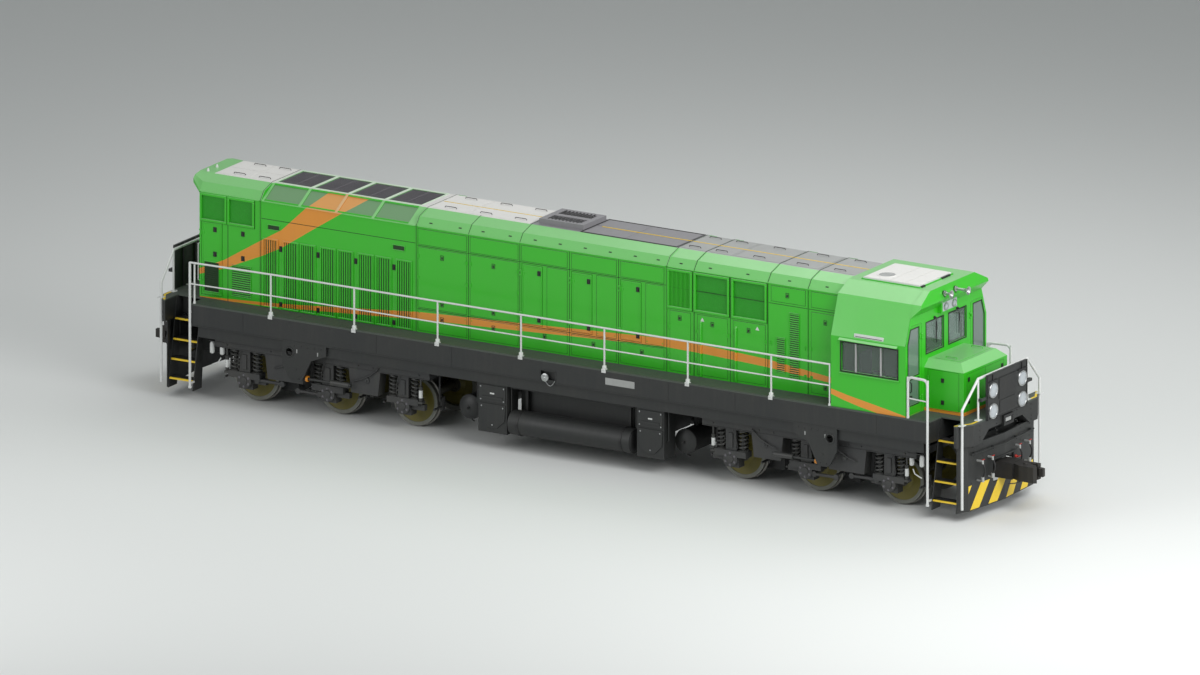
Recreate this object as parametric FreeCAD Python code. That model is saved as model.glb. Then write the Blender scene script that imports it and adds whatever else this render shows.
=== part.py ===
import FreeCAD, Part
import os
from math import asin, cos, degrees, radians, sin, tan

# Six-axle diesel locomotive with a full-height hood and one cab near its front end.
# Millimetres. +X points to the front (cab end), +Y to the left side, +Z up.
# The origin is the middle of the footprint, level with the bottoms of the wheel flanges.

V = FreeCAD.Vector

# ---------------------------------------------------------------- driving sizes
flange_depth = 28
wheel_radius = 525
axle_height = wheel_radius + flange_depth
wheel_back = 676.5
rim_width = 140
journal_radius = 80
journal_play = 0.05
axle_end = 1225

pivot_x = 5830
axle_offsets = (-1900, -100, 1900)

deck_top = 2090
deck_plate = 30
deck_bottom = deck_top - deck_plate
deck_half = 1600
sill_bottom = 1620
sill_width = 150
skirt_bottom = 1390
skirt_inset = 60
skirt_end = 8700
frame_end = 9720
corner_end = 9520
flat_front_half = 1250

well_rear = 8850
well_front = 9460
well_side = 1090
tread_heights = (415, 805, 1210, 1625)
tread_depth = 260
tread_plate = 30
stair_foot_line = 1500
stair_lean = 350
stringer_plate = 20
stringer_inner = (1160, 1000)

hood_half = 1030
hood_shoulder = 4330
roof_half = 560
roof_top = 4610
roof_haunch = (900, 4500)
wall = 50

rear_end = -8980
cooling_start = -7520
engine_start = -3780
electric_start = 2230
cab_rear = 6500
cab_front = 8290
nose_front = 9235
nose_half = 850
nose_shoulder = 3000
nose_top = 3160
nose_slope = 170

cab_half = 1580
cab_waist = 3600
cab_eave_half = 1300
cab_eave = 4430
cab_crown_half = 870
cab_crown = 4640
cab_wall = 60

rail_radius = 20
stair_post_radius = 28
mid_rail_radius = 15
rail_line = 1570
stair_post_line = 1630
rail_top = 2970
rail_mid = 2520

gap = 10
seat_gap = 0.3
hinge_proud = 16
knuckle_radius = 11
hinge_pin_radius = 6
barrel_length = 60

coupler_height = 880
coupler_pin_x = 9050
coupler_pin_radius = 45
coupler_face = 10600


# ---------------------------------------------------------------- shape helpers
def box(x0, x1, y0, y1, z0, z1):
    return Part.makeBox(x1 - x0, y1 - y0, z1 - z0, V(x0, y0, z0))


def rod(start, end, radius):
    a, b = V(*start), V(*end)
    return Part.makeCylinder(radius, (b - a).Length, a, b - a)


def ball(centre, radius):
    return Part.makeSphere(radius, V(*centre))


def join(shapes):
    first, rest = shapes[0], shapes[1:]
    return first.fuse(rest).removeSplitter() if rest else first


def prism(points, along):
    """Closed outline pushed along a vector."""
    corners = [V(*p) for p in points]
    return Part.Face(Part.makePolygon(corners + corners[:1])).extrude(V(*along))


def prism_x(yz, x0, x1):
    return prism([(x0, y, z) for y, z in yz], (x1 - x0, 0, 0))


def prism_y(xz, y0, y1):
    return prism([(x, y0, z) for x, z in xz], (0, y1 - y0, 0))


def prism_z(xy, z0, z1):
    return prism([(x, y, z0) for x, y in xy], (0, 0, z1 - z0))


def flip_y(shape):
    return shape.mirror(V(0, 0, 0), V(0, 1, 0))


def flip_x(shape):
    return shape.mirror(V(0, 0, 0), V(1, 0, 0))


def both_sides(shapes):
    return shapes + [flip_y(s) for s in shapes]


def both_ends(shapes):
    return shapes + [flip_x(s) for s in shapes]


def all_corners(shapes):
    return both_ends(both_sides(shapes))


def moved(shape, x, y, z, turn=0):
    copy = shape.copy()
    copy.rotate(V(0, 0, 0), V(0, 0, 1), turn)
    copy.translate(V(x, y, z))
    return copy


def mirrored_outline(half):
    """Outline from its left half: points from the bottom up, at positive Y."""
    return half + [(-y, z) for y, z in reversed(half)]


def save(name, shapes):
    solids = [solid for shape in shapes for solid in shape.Solids]
    Part.makeCompound(solids).exportStep("parts/" + name + ".step")


# ---------------------------------------------------------------- hinged leaves
# A leaf is drawn with its outer face on y = 0, facing -Y, its hinge axis at
# x = 0 and y = -hinge_proud, and its free edge towards +X.
leaf_start = 2
strap_length = 70
lug_height = 30
lug_reach = 50
lug_half = 5


def leaf_hinge_heights(z0, z1):
    height = z1 - z0
    return (z0 + 0.15 * height, z1 - 0.15 * height)


def hinge_rod(z0, z1, radius):
    return rod((0, -hinge_proud, z0), (0, -hinge_proud, z1), radius)


def leaf(width, thickness, z0, z1):
    half = barrel_length / 2
    strap_face = -hinge_proud + hinge_pin_radius + leaf_start
    pieces = [box(leaf_start, width, 0, thickness, z0, z1)]
    for z in leaf_hinge_heights(z0, z1):
        pieces.append(hinge_rod(z - half, z + half, knuckle_radius))
        pieces.append(box(0, strap_length, strap_face, 0, z - half, z + half))
    bores = [hinge_rod(z - barrel_length, z + barrel_length, hinge_pin_radius + seat_gap)
             for z in leaf_hinge_heights(z0, z1)]
    return join(pieces).cut(bores)


def leaf_lugs(z0, z1):
    """Pins and lugs on the frame beside a leaf."""
    half = barrel_length / 2
    reach = half + lug_height
    lugs = []
    for z in leaf_hinge_heights(z0, z1):
        lugs.append(hinge_rod(z - reach, z + reach, hinge_pin_radius))
        for low in (z - reach, z + half + seat_gap):
            high = low + lug_height - seat_gap
            lugs.append(hinge_rod(low, high, knuckle_radius))
            lugs.append(box(-lug_reach, 0, -hinge_proud - lug_half, -hinge_proud + lug_half, low, high))
            lugs.append(box(-lug_reach, -gap, -hinge_proud, 1, low, high))
    return lugs


def leaf_hole(width, thickness, z0, z1):
    return box(leaf_start - gap, width + gap, -1, thickness + 1, z0 - gap, z1 + gap)


# ---------------------------------------------------------------- wheels
hub_radius = 150
axle_radius = 90
axle_seat_radius = 105
rim_inside = 450
web_root = 240


def wheelset():
    back, face = wheel_back, wheel_back + rim_width
    shoulder = 1040
    profile = [(0, -axle_end), (journal_radius, -axle_end), (journal_radius, -shoulder),
               (axle_seat_radius, -shoulder), (axle_seat_radius, -face - 30), (hub_radius, -face - 30),
               (hub_radius, -face), (web_root, -face + 45), (rim_inside, -face + 15), (rim_inside, -face),
               (wheel_radius, -face), (wheel_radius, -back - 40), (axle_height, -back - 28),
               (axle_height, -back), (rim_inside, -back), (rim_inside, -face + 50), (web_root, -face + 80),
               (hub_radius, -back), (hub_radius, -back + 25), (axle_seat_radius, -back + 25),
               (axle_radius, -back + 226), (axle_radius, 0), (0, 0)]
    outline = [V(r, y, 0) for r, y in profile]
    half = Part.Face(Part.makePolygon(outline + outline[:1])).revolve(V(0, 0, 0), V(0, 1, 0), 360)
    return join([half, flip_y(half)])


# ---------------------------------------------------------------- bogies
# Drawn about its own centre, with the end of the locomotive towards +X.
beam_in, beam_out = 1090, 1350
beam_bottom, beam_top = 1190, 1340
leg_bottom = 680
leg_slope = 60
arch_half = 520
spring_offset = 260
spring_radius = 115
spring_line = 1220
spring_seat = 730
wing_half = 375
bogie_head, bogie_tail = 2580, -2560
end_beam_width = 120
transom_spans = ((-1610, -1270), (1270, 1610))
centre_span = (-300, 530)
centre_boss = (260, 330, 60)
centre_bore = 205
bearer_spots = ((-700, 1180), (560, 1180))
bearer_radius = 130


def side_frame():
    xz = [(bogie_tail, beam_top), (bogie_tail, beam_bottom)]
    for offset in axle_offsets:
        if offset != axle_offsets[0]:
            xz.append((offset - arch_half - leg_slope, leg_bottom))
        xz.append((offset - arch_half, beam_bottom))
        xz.append((offset + arch_half, beam_bottom))
        if offset != axle_offsets[-1]:
            xz.append((offset + arch_half + leg_slope, leg_bottom))
    xz += [(bogie_head, beam_bottom), (bogie_head, beam_top)]
    return prism_y(xz, beam_in, beam_out)


def crosspiece(x0, x1):
    return box(x0, x1, -beam_in, beam_in, beam_bottom, beam_top)


def centre_transom():
    half_x, half_y, drop = centre_boss
    boss = box(-half_x, half_x, -half_y, half_y, beam_bottom - drop, beam_top)
    bore = rod((0, 0, beam_bottom - drop - 1), (0, 0, beam_top + 1), centre_bore)
    return join([crosspiece(*centre_span), boss]).cut(bore)


def bogie_frame():
    ends = [crosspiece(bogie_tail, bogie_tail + end_beam_width), crosspiece(bogie_head - end_beam_width, bogie_head)]
    return both_sides([side_frame()]) + [crosspiece(*span) for span in transom_spans] + ends + [centre_transom()]


def side_bearers():
    height = skirt_bottom - beam_top - seat_gap
    bearers = [Part.makeCylinder(bearer_radius, height, V(x, y, beam_top)) for x, y in bearer_spots]
    return both_sides(bearers)


def axle_box(offset):
    inner, face = 1050, 1265
    body = box(-170, 170, inner, face, axle_height - 190, spring_seat)
    wings = box(-wing_half, wing_half, 1100, 1340, spring_seat - 130, spring_seat)
    cap = Part.makeCylinder(165, 45, V(0, face, axle_height), V(0, 1, 0))
    arm = box(-470, -160, 1130, 1240, axle_height - 60, axle_height + 60)
    bore = Part.makeCylinder(journal_radius + journal_play, 190 + inner - 1000, V(0, 1000, axle_height), V(0, 1, 0))
    return moved(join([body, wings, cap, arm]).cut(bore), offset, 0, 0)


def springs(offset):
    return [Part.makeCylinder(spring_radius, beam_bottom - spring_seat, V(offset + side, spring_line, spring_seat))
            for side in (-spring_offset, spring_offset)]


motor_near, motor_far = 130, 790
motor_half = 480
motor_below, motor_above = 330, 300


def motor(offset, towards):
    """Traction motor beside its axle, hung from the frame."""
    x0, x1 = sorted((offset + towards * motor_near, offset + towards * motor_far))
    case = box(x0, x1, -motor_half, motor_half, axle_height - motor_below, axle_height + motor_above)
    middle = offset + towards * (motor_near + motor_far) / 2
    hangers = both_sides([box(middle - 90, middle + 90, motor_half - 140, motor_half - 40,
                              axle_height + motor_above, beam_bottom)])
    return join([case] + hangers)


damper_beyond = 420
damper_line = 1300
damper_foot = 30
damper_body = (700, 1000, 38)
damper_stem_radius = 22
damper_foot_heights = (660, 710)


def dampers():
    """Upright shock absorber beside each outer spring."""
    bottom, neck, radius = damper_body
    shapes = []
    for axle, outward in ((axle_offsets[0], -1), (axle_offsets[-1], 1)):
        x = axle + outward * damper_beyond
        x0, x1 = sorted((axle + outward * wing_half, x + outward * damper_foot))
        body = rod((x, damper_line, bottom), (x, damper_line, neck), radius)
        stem = rod((x, damper_line, neck), (x, damper_line, beam_bottom), damper_stem_radius)
        foot = box(x0, x1, damper_line - 100, damper_line + damper_foot, *damper_foot_heights)
        shapes.append(join([body, stem, foot]))
    return shapes


motor_directions = (1, 1, -1)


def save_bogie(name, end):
    """end is +1 at the front and -1 at the rear, where the bogie faces the other way."""
    turn = 0 if end > 0 else 180

    def place(shapes):
        return [moved(s, end * pivot_x, 0, 0, turn) for s in shapes]

    save(name + "_bogie_frame", place(bogie_frame() + side_bearers()))
    save(name + "_axle_boxes", place(both_sides([axle_box(x) for x in axle_offsets])))
    save(name + "_springs", place(both_sides([s for x in axle_offsets for s in springs(x)] + dampers())))
    save(name + "_motors", place([motor(x, d) for x, d in zip(axle_offsets, motor_directions)]))


def save_wheelsets():
    for number, offset in enumerate(reversed(axle_offsets), 1):
        save("wheelset_%d" % number, [moved(wheelset(), pivot_x + offset, 0, axle_height)])
    for number, offset in enumerate(axle_offsets, 4):
        save("wheelset_%d" % number, [moved(wheelset(), -pivot_x - offset, 0, axle_height)])


# ---------------------------------------------------------------- underframe
bracket_hole = (6480, 1400)
bracket_hole_radius = 80
clear_hole_radius = bracket_hole_radius + 20
filler_recess = (-445, -105, 1690, 1875)
filler_depth = 70
headstock_back = 9300
headstock_half = 900
headstock_web = 60
buffer_arch_half = 950
buffer_arch_rise = 300
buffer_arch_top = 1850
centre_sill = (220, 400)
member_spots = (-8800, -7400, -3800, -2300, 0, 2300, 3800, 7400, 8800)
member_half = 50
bolster_half = 400
bolster_bottom = 1490
bolster_pad_radius = 320
bearer_beam_half = 150
pocket_half = 260
pocket_plate = 40
pocket_top, pocket_bottom = 985, 775
pocket_back, pocket_front = 8800, 9480
inside_sill = deck_half - sill_width


def end_outline(back):
    """Plan of one end, from a line across the frame to the bevelled front."""
    return [(back, -deck_half), (corner_end, -deck_half), (frame_end, -flat_front_half),
            (frame_end, flat_front_half), (corner_end, deck_half), (back, deck_half)]


def side_beams():
    """Right side: the deep edge sill with the fuel filler recess, and the skirt under it."""
    x0, x1, z0, z1 = filler_recess
    sill = box(-well_rear, well_rear, -deck_half, -inside_sill, sill_bottom, deck_bottom)
    sill = sill.cut(box(x0, x1, -deck_half - 1, -deck_half + filler_depth, z0, z1))
    skirt = box(-skirt_end, skirt_end, -deck_half + skirt_inset, -inside_sill, skirt_bottom, sill_bottom)
    hole_x, hole_z = bracket_hole
    holes = both_ends([rod((hole_x, -deck_half, hole_z), (hole_x, -inside_sill + 1, hole_z), clear_hole_radius)])
    return [sill, skirt.cut(holes)]


def headstock():
    """End beam and the narrower block behind it, between the stair wells, with the arch cut through both."""
    beam = prism_z(end_outline(well_front), sill_bottom, deck_bottom)
    block = box(headstock_back, well_front, -headstock_half, headstock_half, sill_bottom, deck_bottom)
    crown_half = buffer_arch_half - buffer_arch_rise
    arch = prism_x([(-buffer_arch_half, sill_bottom - 1), (-crown_half, buffer_arch_top),
                    (crown_half, buffer_arch_top), (buffer_arch_half, sill_bottom - 1)],
                   headstock_back + headstock_web, frame_end + 1)
    return [beam.cut(arch), block.cut(arch)]


def draft_pocket():
    inner = pocket_half - pocket_plate
    plates = [box(pocket_back, pocket_front, -pocket_half, pocket_half, z, z + pocket_plate)
              for z in (pocket_bottom - pocket_plate, pocket_top)]
    cheeks = both_sides([box(pocket_back, pocket_front, inner, pocket_half, pocket_bottom, pocket_top)])
    hangers = both_sides([box(pocket_back, headstock_back, inner, pocket_half, pocket_top, sill_bottom)])
    pin = rod((coupler_pin_x, 0, pocket_bottom), (coupler_pin_x, 0, pocket_top), coupler_pin_radius)
    return join(plates + cheeks + hangers + [pin])


def bolster():
    """Front cross box over the bogie, with its pivot and the beams over the side bearers."""
    body = box(pivot_x - bolster_half, pivot_x + bolster_half, -inside_sill, inside_sill, bolster_bottom, deck_bottom)
    pad = rod((pivot_x, 0, beam_top + seat_gap), (pivot_x, 0, bolster_bottom), bolster_pad_radius)
    pivot = rod((pivot_x, 0, beam_bottom - 40), (pivot_x, 0, bolster_bottom), centre_bore - 5)
    beams = [box(pivot_x + x - bearer_beam_half, pivot_x + x + bearer_beam_half, -inside_sill, inside_sill,
                 skirt_bottom, sill_bottom) for x, y in bearer_spots]
    return [join([body, pad, pivot])] + beams


def cross_beams():
    inner, outer = centre_sill
    spans = [(-headstock_back, -pivot_x - bolster_half), (-pivot_x + bolster_half, pivot_x - bolster_half),
             (pivot_x + bolster_half, headstock_back)]
    sills = both_sides([box(x0, x1, inner, outer, sill_bottom, deck_bottom) for x0, x1 in spans])
    members = []
    for x in member_spots:
        for y0, y1 in ((-inside_sill, -outer), (-inner, inner), (outer, inside_sill)):
            members.append(box(x - member_half, x + member_half, y0, y1, sill_bottom, deck_bottom))
    return sills + members + both_ends(bolster())


def deck():
    half = prism_z(end_outline(0), deck_bottom, deck_top)
    well = box(well_rear, well_front, well_side, deck_half + 1, 0, deck_top + 1)
    half = half.cut(both_sides([well]))
    return join([half, flip_x(half)])


stair_foot = tread_heights[0] - 210


def stair_edge(z):
    """Y of the outer edge of the right stringers at a height."""
    return -stair_foot_line + stair_lean * (z - stair_foot) / (deck_bottom - stair_foot)


def stairs():
    """One flight in the front right well: leaning stringers and four treads."""
    low_inner, high_inner = stringer_inner
    outline = [(stair_edge(stair_foot), stair_foot), (-low_inner, stair_foot), (-high_inner, deck_bottom),
               (stair_edge(deck_bottom), deck_bottom)]
    pieces = [prism_x(outline, x, x + stringer_plate) for x in (well_rear, well_front - stringer_plate)]
    for z in tread_heights:
        edge = stair_edge(z)
        pieces.append(box(well_rear + 10, well_front - 10, edge, edge + tread_depth, z - tread_plate, z))
    return join(pieces)


pilot_bottom = 215
pilot_plate = 50
# Plan of the right half of the plough: X and Y of its corners from the stair well to the middle ridge.
pilot_outer = ((well_front, 1500), (9480, 1500), (9600, 1270), (9700, 0))
pilot_inner = ((well_front, 1440), (9550, 1220), (9650, 0))
pocket_notch_half = 400
pocket_notch = (660, 1130)


def pilot_face(y):
    """X of the pilot's outer face in its middle stretch, a shallow wedge."""
    (corner_x, corner_y), (ridge_x, _) = pilot_outer[2:]
    return ridge_x - (ridge_x - corner_x) * abs(y) / corner_y


def pilot():
    """Front pilot: one tall plough plate with a slight middle ridge, bevelled corners and the coupler notch."""
    outer = [(x, -y) for x, y in pilot_outer] + [(x, y) for x, y in reversed(pilot_outer[:-1])]
    inner = [(x, y) for x, y in pilot_inner] + [(x, -y) for x, y in reversed(pilot_inner[:-1])]
    plate = prism_z(outer + inner, pilot_bottom, sill_bottom)
    return plate.cut(box(9000, 10000, -pocket_notch_half, pocket_notch_half, *pocket_notch))


def lifting_bracket():
    """Front right bracket: thick plate with one lifting hole."""
    xz = [(5600, sill_bottom), (5600, 1420), (5960, 1270), (6180, 830), (6240, 790), (6420, 790),
          (6500, 860), (6650, 1150), (6650, sill_bottom)]
    plate = prism_y(xz, -deck_half, -deck_half + skirt_inset)
    x, z = bracket_hole
    return plate.cut(rod((x, -deck_half - 1, z), (x, -deck_half + skirt_inset + 1, z), bracket_hole_radius))


yaw_line = deck_half - 105
yaw_height = 860
yaw_span = (5060, 6130)
yaw_radii = (42, 26)


def yaw_damper():
    """Front right damper along the bogie, carried by the lifting bracket."""
    x0, x1 = yaw_span
    middle = x0 + 0.45 * (x1 - x0)
    body = rod((x0, -yaw_line, yaw_height), (middle, -yaw_line, yaw_height), yaw_radii[0])
    stem = rod((middle, -yaw_line, yaw_height), (x1, -yaw_line, yaw_height), yaw_radii[1])
    eye = box(x1, x1 + 90, -deck_half + skirt_inset, -yaw_line + yaw_radii[1], yaw_height - 35, yaw_height + 35)
    return join([body, stem, eye.cut(lifting_bracket())])


# ---------------------------------------------------------------- below the frame
tank_half = 1050
tank_span = (-1250, 1600)
reservoir_radius = 260
reservoir_height = 600
reservoir_span = (-1270, 1640)
reservoir_line = tank_half + reservoir_radius + seat_gap
cross_reservoir_spots = (-2460, 2710)
cross_reservoir_radius = 250
cross_reservoir_height = 690
cross_reservoir_half = 1080
dome_radius = 400
dome_rise = 80
hanger_half = 40
equipment_spans = ((-2010, -1320), (1800, 2450))
equipment_bottom = 350
equipment_face = 1500


def fuel_tank():
    chamfer = 150
    half = [(tank_half - chamfer, 420), (tank_half, 420 + chamfer), (tank_half, sill_bottom)]
    return prism_x(mirrored_outline(half), *tank_span)


def side_reservoirs():
    x0, x1 = reservoir_span
    return both_sides([rod((x0, -reservoir_line, reservoir_height), (x1, -reservoir_line, reservoir_height),
                           reservoir_radius)])


def cross_reservoir(x):
    radius, z, half = cross_reservoir_radius, cross_reservoir_height, cross_reservoir_half
    barrel = rod((x, -half, z), (x, half, z), radius)
    dome = ball((x, half + dome_rise - dome_radius, z), dome_radius)
    slice_out = box(x - radius + 1, x + radius - 1, half - 1, half + dome_rise, z - radius + 1, z + radius - 1)
    strap = box(x - hanger_half, x + hanger_half, -700, 700, z + radius - 20, sill_bottom)
    return join([barrel, strap] + both_sides([dome.common(slice_out)]))


def equipment_boxes():
    boxes = [box(x0, x1, -equipment_face, -tank_half - 10, equipment_bottom, skirt_bottom)
             for x0, x1 in equipment_spans]
    return both_sides(boxes)


# ---------------------------------------------------------------- handrails
post_line = (-6940, -4940, -2940, -940, 1060, 3060, 5060)
post_foot_radius = 30
post_foot_height = 50
cab_post_x = cab_rear - 40
cab_post_radius = 15
stair_post_x = well_rear - 5
stair_post_bottom = 310
clamp_width = 25
clamp_height = 40
clamp_low = stair_post_bottom + 80
stair_knob_radius = 36
step_post_x = well_rear - 80
hoop_post_x = cab_front + 50


def welded(rails, posts):
    """Rails stay whole; each post is cut where a rail passes."""
    return rails + [piece for post in posts for piece in post.cut(rails).Solids]


def deck_post(x, radius):
    """Right side post standing on the deck, with a round foot."""
    stem = rod((x, -rail_line, deck_top), (x, -rail_line, rail_top), radius)
    foot = rod((x, -rail_line, deck_top), (x, -rail_line, deck_top + post_foot_height), post_foot_radius)
    return join([stem, foot])


def stair_post(x):
    """Right side post outside the stair well, clamped to the sill and to the stringer behind it."""
    line = -stair_post_line
    sign = 1 if x > 0 else -1
    near, far = sorted((sign * well_rear, sign * (well_rear - clamp_width)))
    stem = rod((x, line, stair_post_bottom), (x, line, rail_top), stair_post_radius - 1)
    clamps = [box(near, far, line, -deck_half, deck_bottom - 160, deck_bottom - 160 + clamp_height),
              box(near, far, line, 20 - stair_foot_line, clamp_low, clamp_low + clamp_height)]
    knob = rod((x, line, stair_post_bottom), (x, line, stair_post_bottom + post_foot_height), stair_knob_radius)
    return join([stem, knob] + clamps)


def level_rail(start, end, z, radius, caps):
    a, b = (start[0], start[1], z), (end[0], end[1], z)
    return join([rod(a, b, radius)] + [ball(p, radius) for p in (a, b)[:caps]])


def side_handrail():
    """Right side: seven posts, the thin post at the cab and the rear stair post, with two rails."""
    bend = (post_line[0], -rail_line)
    end = (-stair_post_x, -stair_post_line)
    cab = (cab_post_x, -rail_line)
    rails = []
    for z, radius in ((rail_top, rail_radius), (rail_mid, mid_rail_radius)):
        rear = level_rail(end, bend, z, radius, 1)
        rails.append(join([rear, level_rail(bend, cab, z, radius, 2)]))
    posts = [deck_post(x, rail_radius) for x in (-step_post_x,) + post_line]
    posts.append(deck_post(cab_post_x, cab_post_radius))
    return welded(rails, posts + [stair_post(-stair_post_x)])


hoop_bend = 110
hoop_bend_bottom = rail_top - 2 * hoop_bend


def bent_tube(points, bend, radius):
    """Tube along straight runs, with an arc at each inner corner."""
    spots = [V(*p) for p in points]
    edges, start = [], spots[0]
    for before, corner, after in zip(spots, spots[1:], spots[2:]):
        back = (before - corner).normalize()
        ahead = (after - corner).normalize()
        half = back.getAngle(ahead) / 2
        reach = bend / tan(half)
        arc_start, arc_end = corner + back * reach, corner + ahead * reach
        middle_way = (back + ahead).normalize()
        arc_middle = corner + middle_way * (bend / sin(half) - bend)
        edges += [Part.LineSegment(start, arc_start).toShape(), Part.Arc(arc_start, arc_middle, arc_end).toShape()]
        start = arc_end
    edges.append(Part.LineSegment(start, spots[-1]).toShape())
    tangent = (spots[1] - spots[0]).normalize()
    section = Part.Wire(Part.Circle(spots[0], tangent, radius).toShape())
    return Part.Wire(edges).makePipeShell([section], True, False)


def cab_handrail():
    """Right side: hoop with rounded corners beside the front stair, by the cab door."""
    start, end = (hoop_post_x, -rail_line), (stair_post_x, -stair_post_line)
    top = bent_tube([(*start, hoop_bend_bottom), (*start, rail_top), (*end, rail_top), (*end, hoop_bend_bottom)],
                    hoop_bend, stair_post_radius)
    rails = [top, level_rail(start, end, rail_mid, mid_rail_radius, 0)]
    return welded(rails, [deck_post(hoop_post_x, stair_post_radius - 1), stair_post(stair_post_x)])


end_rail_x = frame_end - 70
corner_post = (corner_end + 85, 1515)
end_post_half = 960
corner_post_top = 2420
inner_post_radius = 22
base_plate = (70, 40, 15)


def end_handrail():
    """Front end: corner posts, slopes in to a rail across the platform, and two inner posts."""
    x, inner = end_rail_x, end_post_half
    corner_x, corner_y = corner_post
    radius = stair_post_radius
    top = join([rod((x, -inner, rail_top), (x, inner, rail_top), radius)]
               + [ball((x, side * inner, rail_top), radius) for side in (-1, 1)])
    long, wide, thick = base_plate
    posts = []
    for side in (-1, 1):
        low, high = (corner_x, side * corner_y, corner_post_top), (x, side * inner, rail_top)
        foot = (corner_x, side * corner_y, stair_post_bottom)
        corner = join([rod(foot, low, radius), ball(low, radius)])
        slope = rod(low, high, radius)
        posts.append(slope.cut([corner]))
        posts.append(corner)
        plate = box(x - long, x + long / 2, side * inner - wide, side * inner + wide, deck_top, deck_top + thick)
        stem = rod((x, side * inner, deck_top), (x, side * inner, rail_top), inner_post_radius)
        posts.append(join([stem, plate]).cut([slope]))
    return welded([top], posts)


# ---------------------------------------------------------------- hood
def hood_outline(inset):
    return [(-hood_half + inset, deck_top), (-hood_half + inset, hood_shoulder), (-roof_half, roof_top - inset),
            (roof_half, roof_top - inset), (hood_half - inset, hood_shoulder), (hood_half - inset, deck_top)]


def rounded_hood_outline():
    """Outside of the sections whose roof edge is rolled: each slope bends once, at the haunch."""
    outline = hood_outline(0)
    haunch_y, haunch_z = roof_haunch
    return outline[:2] + [(-haunch_y, haunch_z)] + outline[2:4] + [(haunch_y, haunch_z)] + outline[4:]


def hood_shell(outside, x0, x1):
    return prism_x(outside, x0, x1).cut(prism_x(hood_outline(wall), x0 - 1, x1 + 1))


def slope_strip(low, high, outside, inside, x0, x1):
    """Slab on the right roof slope: low and high are shares of the slope, depths are square to it."""
    across, up = hood_half - roof_half, roof_top - hood_shoulder
    length = (across ** 2 + up ** 2) ** 0.5
    out_y, out_z = -up / length, across / length

    def at(share, depth):
        return (-hood_half + share * across - depth * out_y, hood_shoulder + share * up - depth * out_z)

    return prism_x([at(low, outside), at(high, outside), at(high, inside), at(low, inside)], x0, x1)


# Engine room doors: one leaf in the rear half of each bay beside the engine, both sides.
bay_lines = (-1300, -110, 1070)
engine_leaf = (490, 2620, 3880)
cabinet_leaf = (490, 2160, 3700)
cabinet_hinge = -8930
hinge_inset = 50

rear_grilles = ((-8920, -8370), (-8260, -7710))
rear_grille_heights = (3760, 4255)
filter_bays = ((2290, 2790), (2930, 3680), (3830, 4580))
filter_heights = (3500, 4245)
grille_recess = 15

shutter_half = 500
shutter_pitch = 880
shutter_start = -7440
shutter_count = 4
shutter_bar = 70
shutter_recess = 15
slope_window = (0.1, 0.9)
slope_glass = 12

brow_rear = -9270
brow_bottom = 4290
brow_tip = ((-800, 4420), (-800, 4510), (-730, 4570), (-520, roof_top))


def on_right(shape, x):
    return moved(shape, x, -hood_half, 0)


def door_in_hood(shell, x, size):
    width, z0, z1 = size
    hole = on_right(leaf_hole(width, wall, z0, z1), x)
    lugs = [on_right(s, x) for s in leaf_lugs(z0, z1)]
    return join([shell.cut(both_sides([hole]))] + both_sides(lugs))


def save_hood_doors():
    leaves = [("engine_door_%s_" + str(number), engine_leaf, bay + hinge_inset)
              for number, bay in enumerate(bay_lines, 1)]
    leaves.append(("cabinet_door_%s", cabinet_leaf, cabinet_hinge))
    for name, (width, z0, z1), x in leaves:
        door = on_right(leaf(width, wall, z0, z1), x)
        save(name % "right", [door])
        save(name % "left", [flip_y(door)])


def wall_panels(spans, heights, outer, inner):
    """Slabs in the right hood wall, between two depths from its face."""
    return [box(x0, x1, -hood_half + outer, -hood_half + inner, *heights) for x0, x1 in spans]


def rear_brow():
    """Visor over the rear end, narrowing towards its edge."""
    root = [(-hood_half, brow_bottom)] + rounded_hood_outline()[1:-1] + [(hood_half, brow_bottom)]
    tip = list(brow_tip) + [(-y, z) for y, z in reversed(brow_tip)]
    wires = [Part.makePolygon([V(x, y, z) for y, z in section + section[:1]])
             for x, section in ((rear_end, root), (brow_rear, tip))]
    return Part.makeLoft(wires, True, True)


def rear_hood():
    shell = hood_shell(rounded_hood_outline(), rear_end, cooling_start)
    end_wall = prism_x(rounded_hood_outline(), rear_end, rear_end + wall)
    shell = join([shell, end_wall, rear_brow()])
    grilles = wall_panels(rear_grilles, rear_grille_heights, -1, wall + 1)
    return door_in_hood(shell.cut(both_sides(grilles)), cabinet_hinge, cabinet_leaf)


def grille_panels():
    """Mesh screens in the upper openings of the rear cabinet and the electrical section."""
    panels = wall_panels(rear_grilles, rear_grille_heights, grille_recess, wall)
    panels += wall_panels(filter_bays, filter_heights, grille_recess, wall)
    return both_sides(panels)


def shutter_spans():
    return [(shutter_start + i * shutter_pitch, shutter_start + (i + 1) * shutter_pitch - shutter_bar)
            for i in range(shutter_count)]


def cooling_hood():
    shell = hood_shell(hood_outline(0), cooling_start, engine_start)
    holes = [box(x0, x1, -shutter_half, shutter_half, roof_top - 2 * wall, roof_top + 1)
             for x0, x1 in shutter_spans()]
    windows = [slope_strip(*slope_window, -1, 2 * wall, x0, x1) for x0, x1 in shutter_spans()]
    return shell.cut(holes + both_sides(windows))


def hood_windows():
    panes = [slope_strip(*slope_window, wall / 2 - slope_glass, wall / 2, x0, x1) for x0, x1 in shutter_spans()]
    return both_sides(panes)


def roof_shutters():
    return [box(x0, x1, -shutter_half, shutter_half, roof_top - wall, roof_top - shutter_recess)
            for x0, x1 in shutter_spans()]


def engine_hood():
    shell = hood_shell(rounded_hood_outline(), engine_start, electric_start)
    for bay in bay_lines:
        shell = door_in_hood(shell, bay + hinge_inset, engine_leaf)
    return shell


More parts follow.
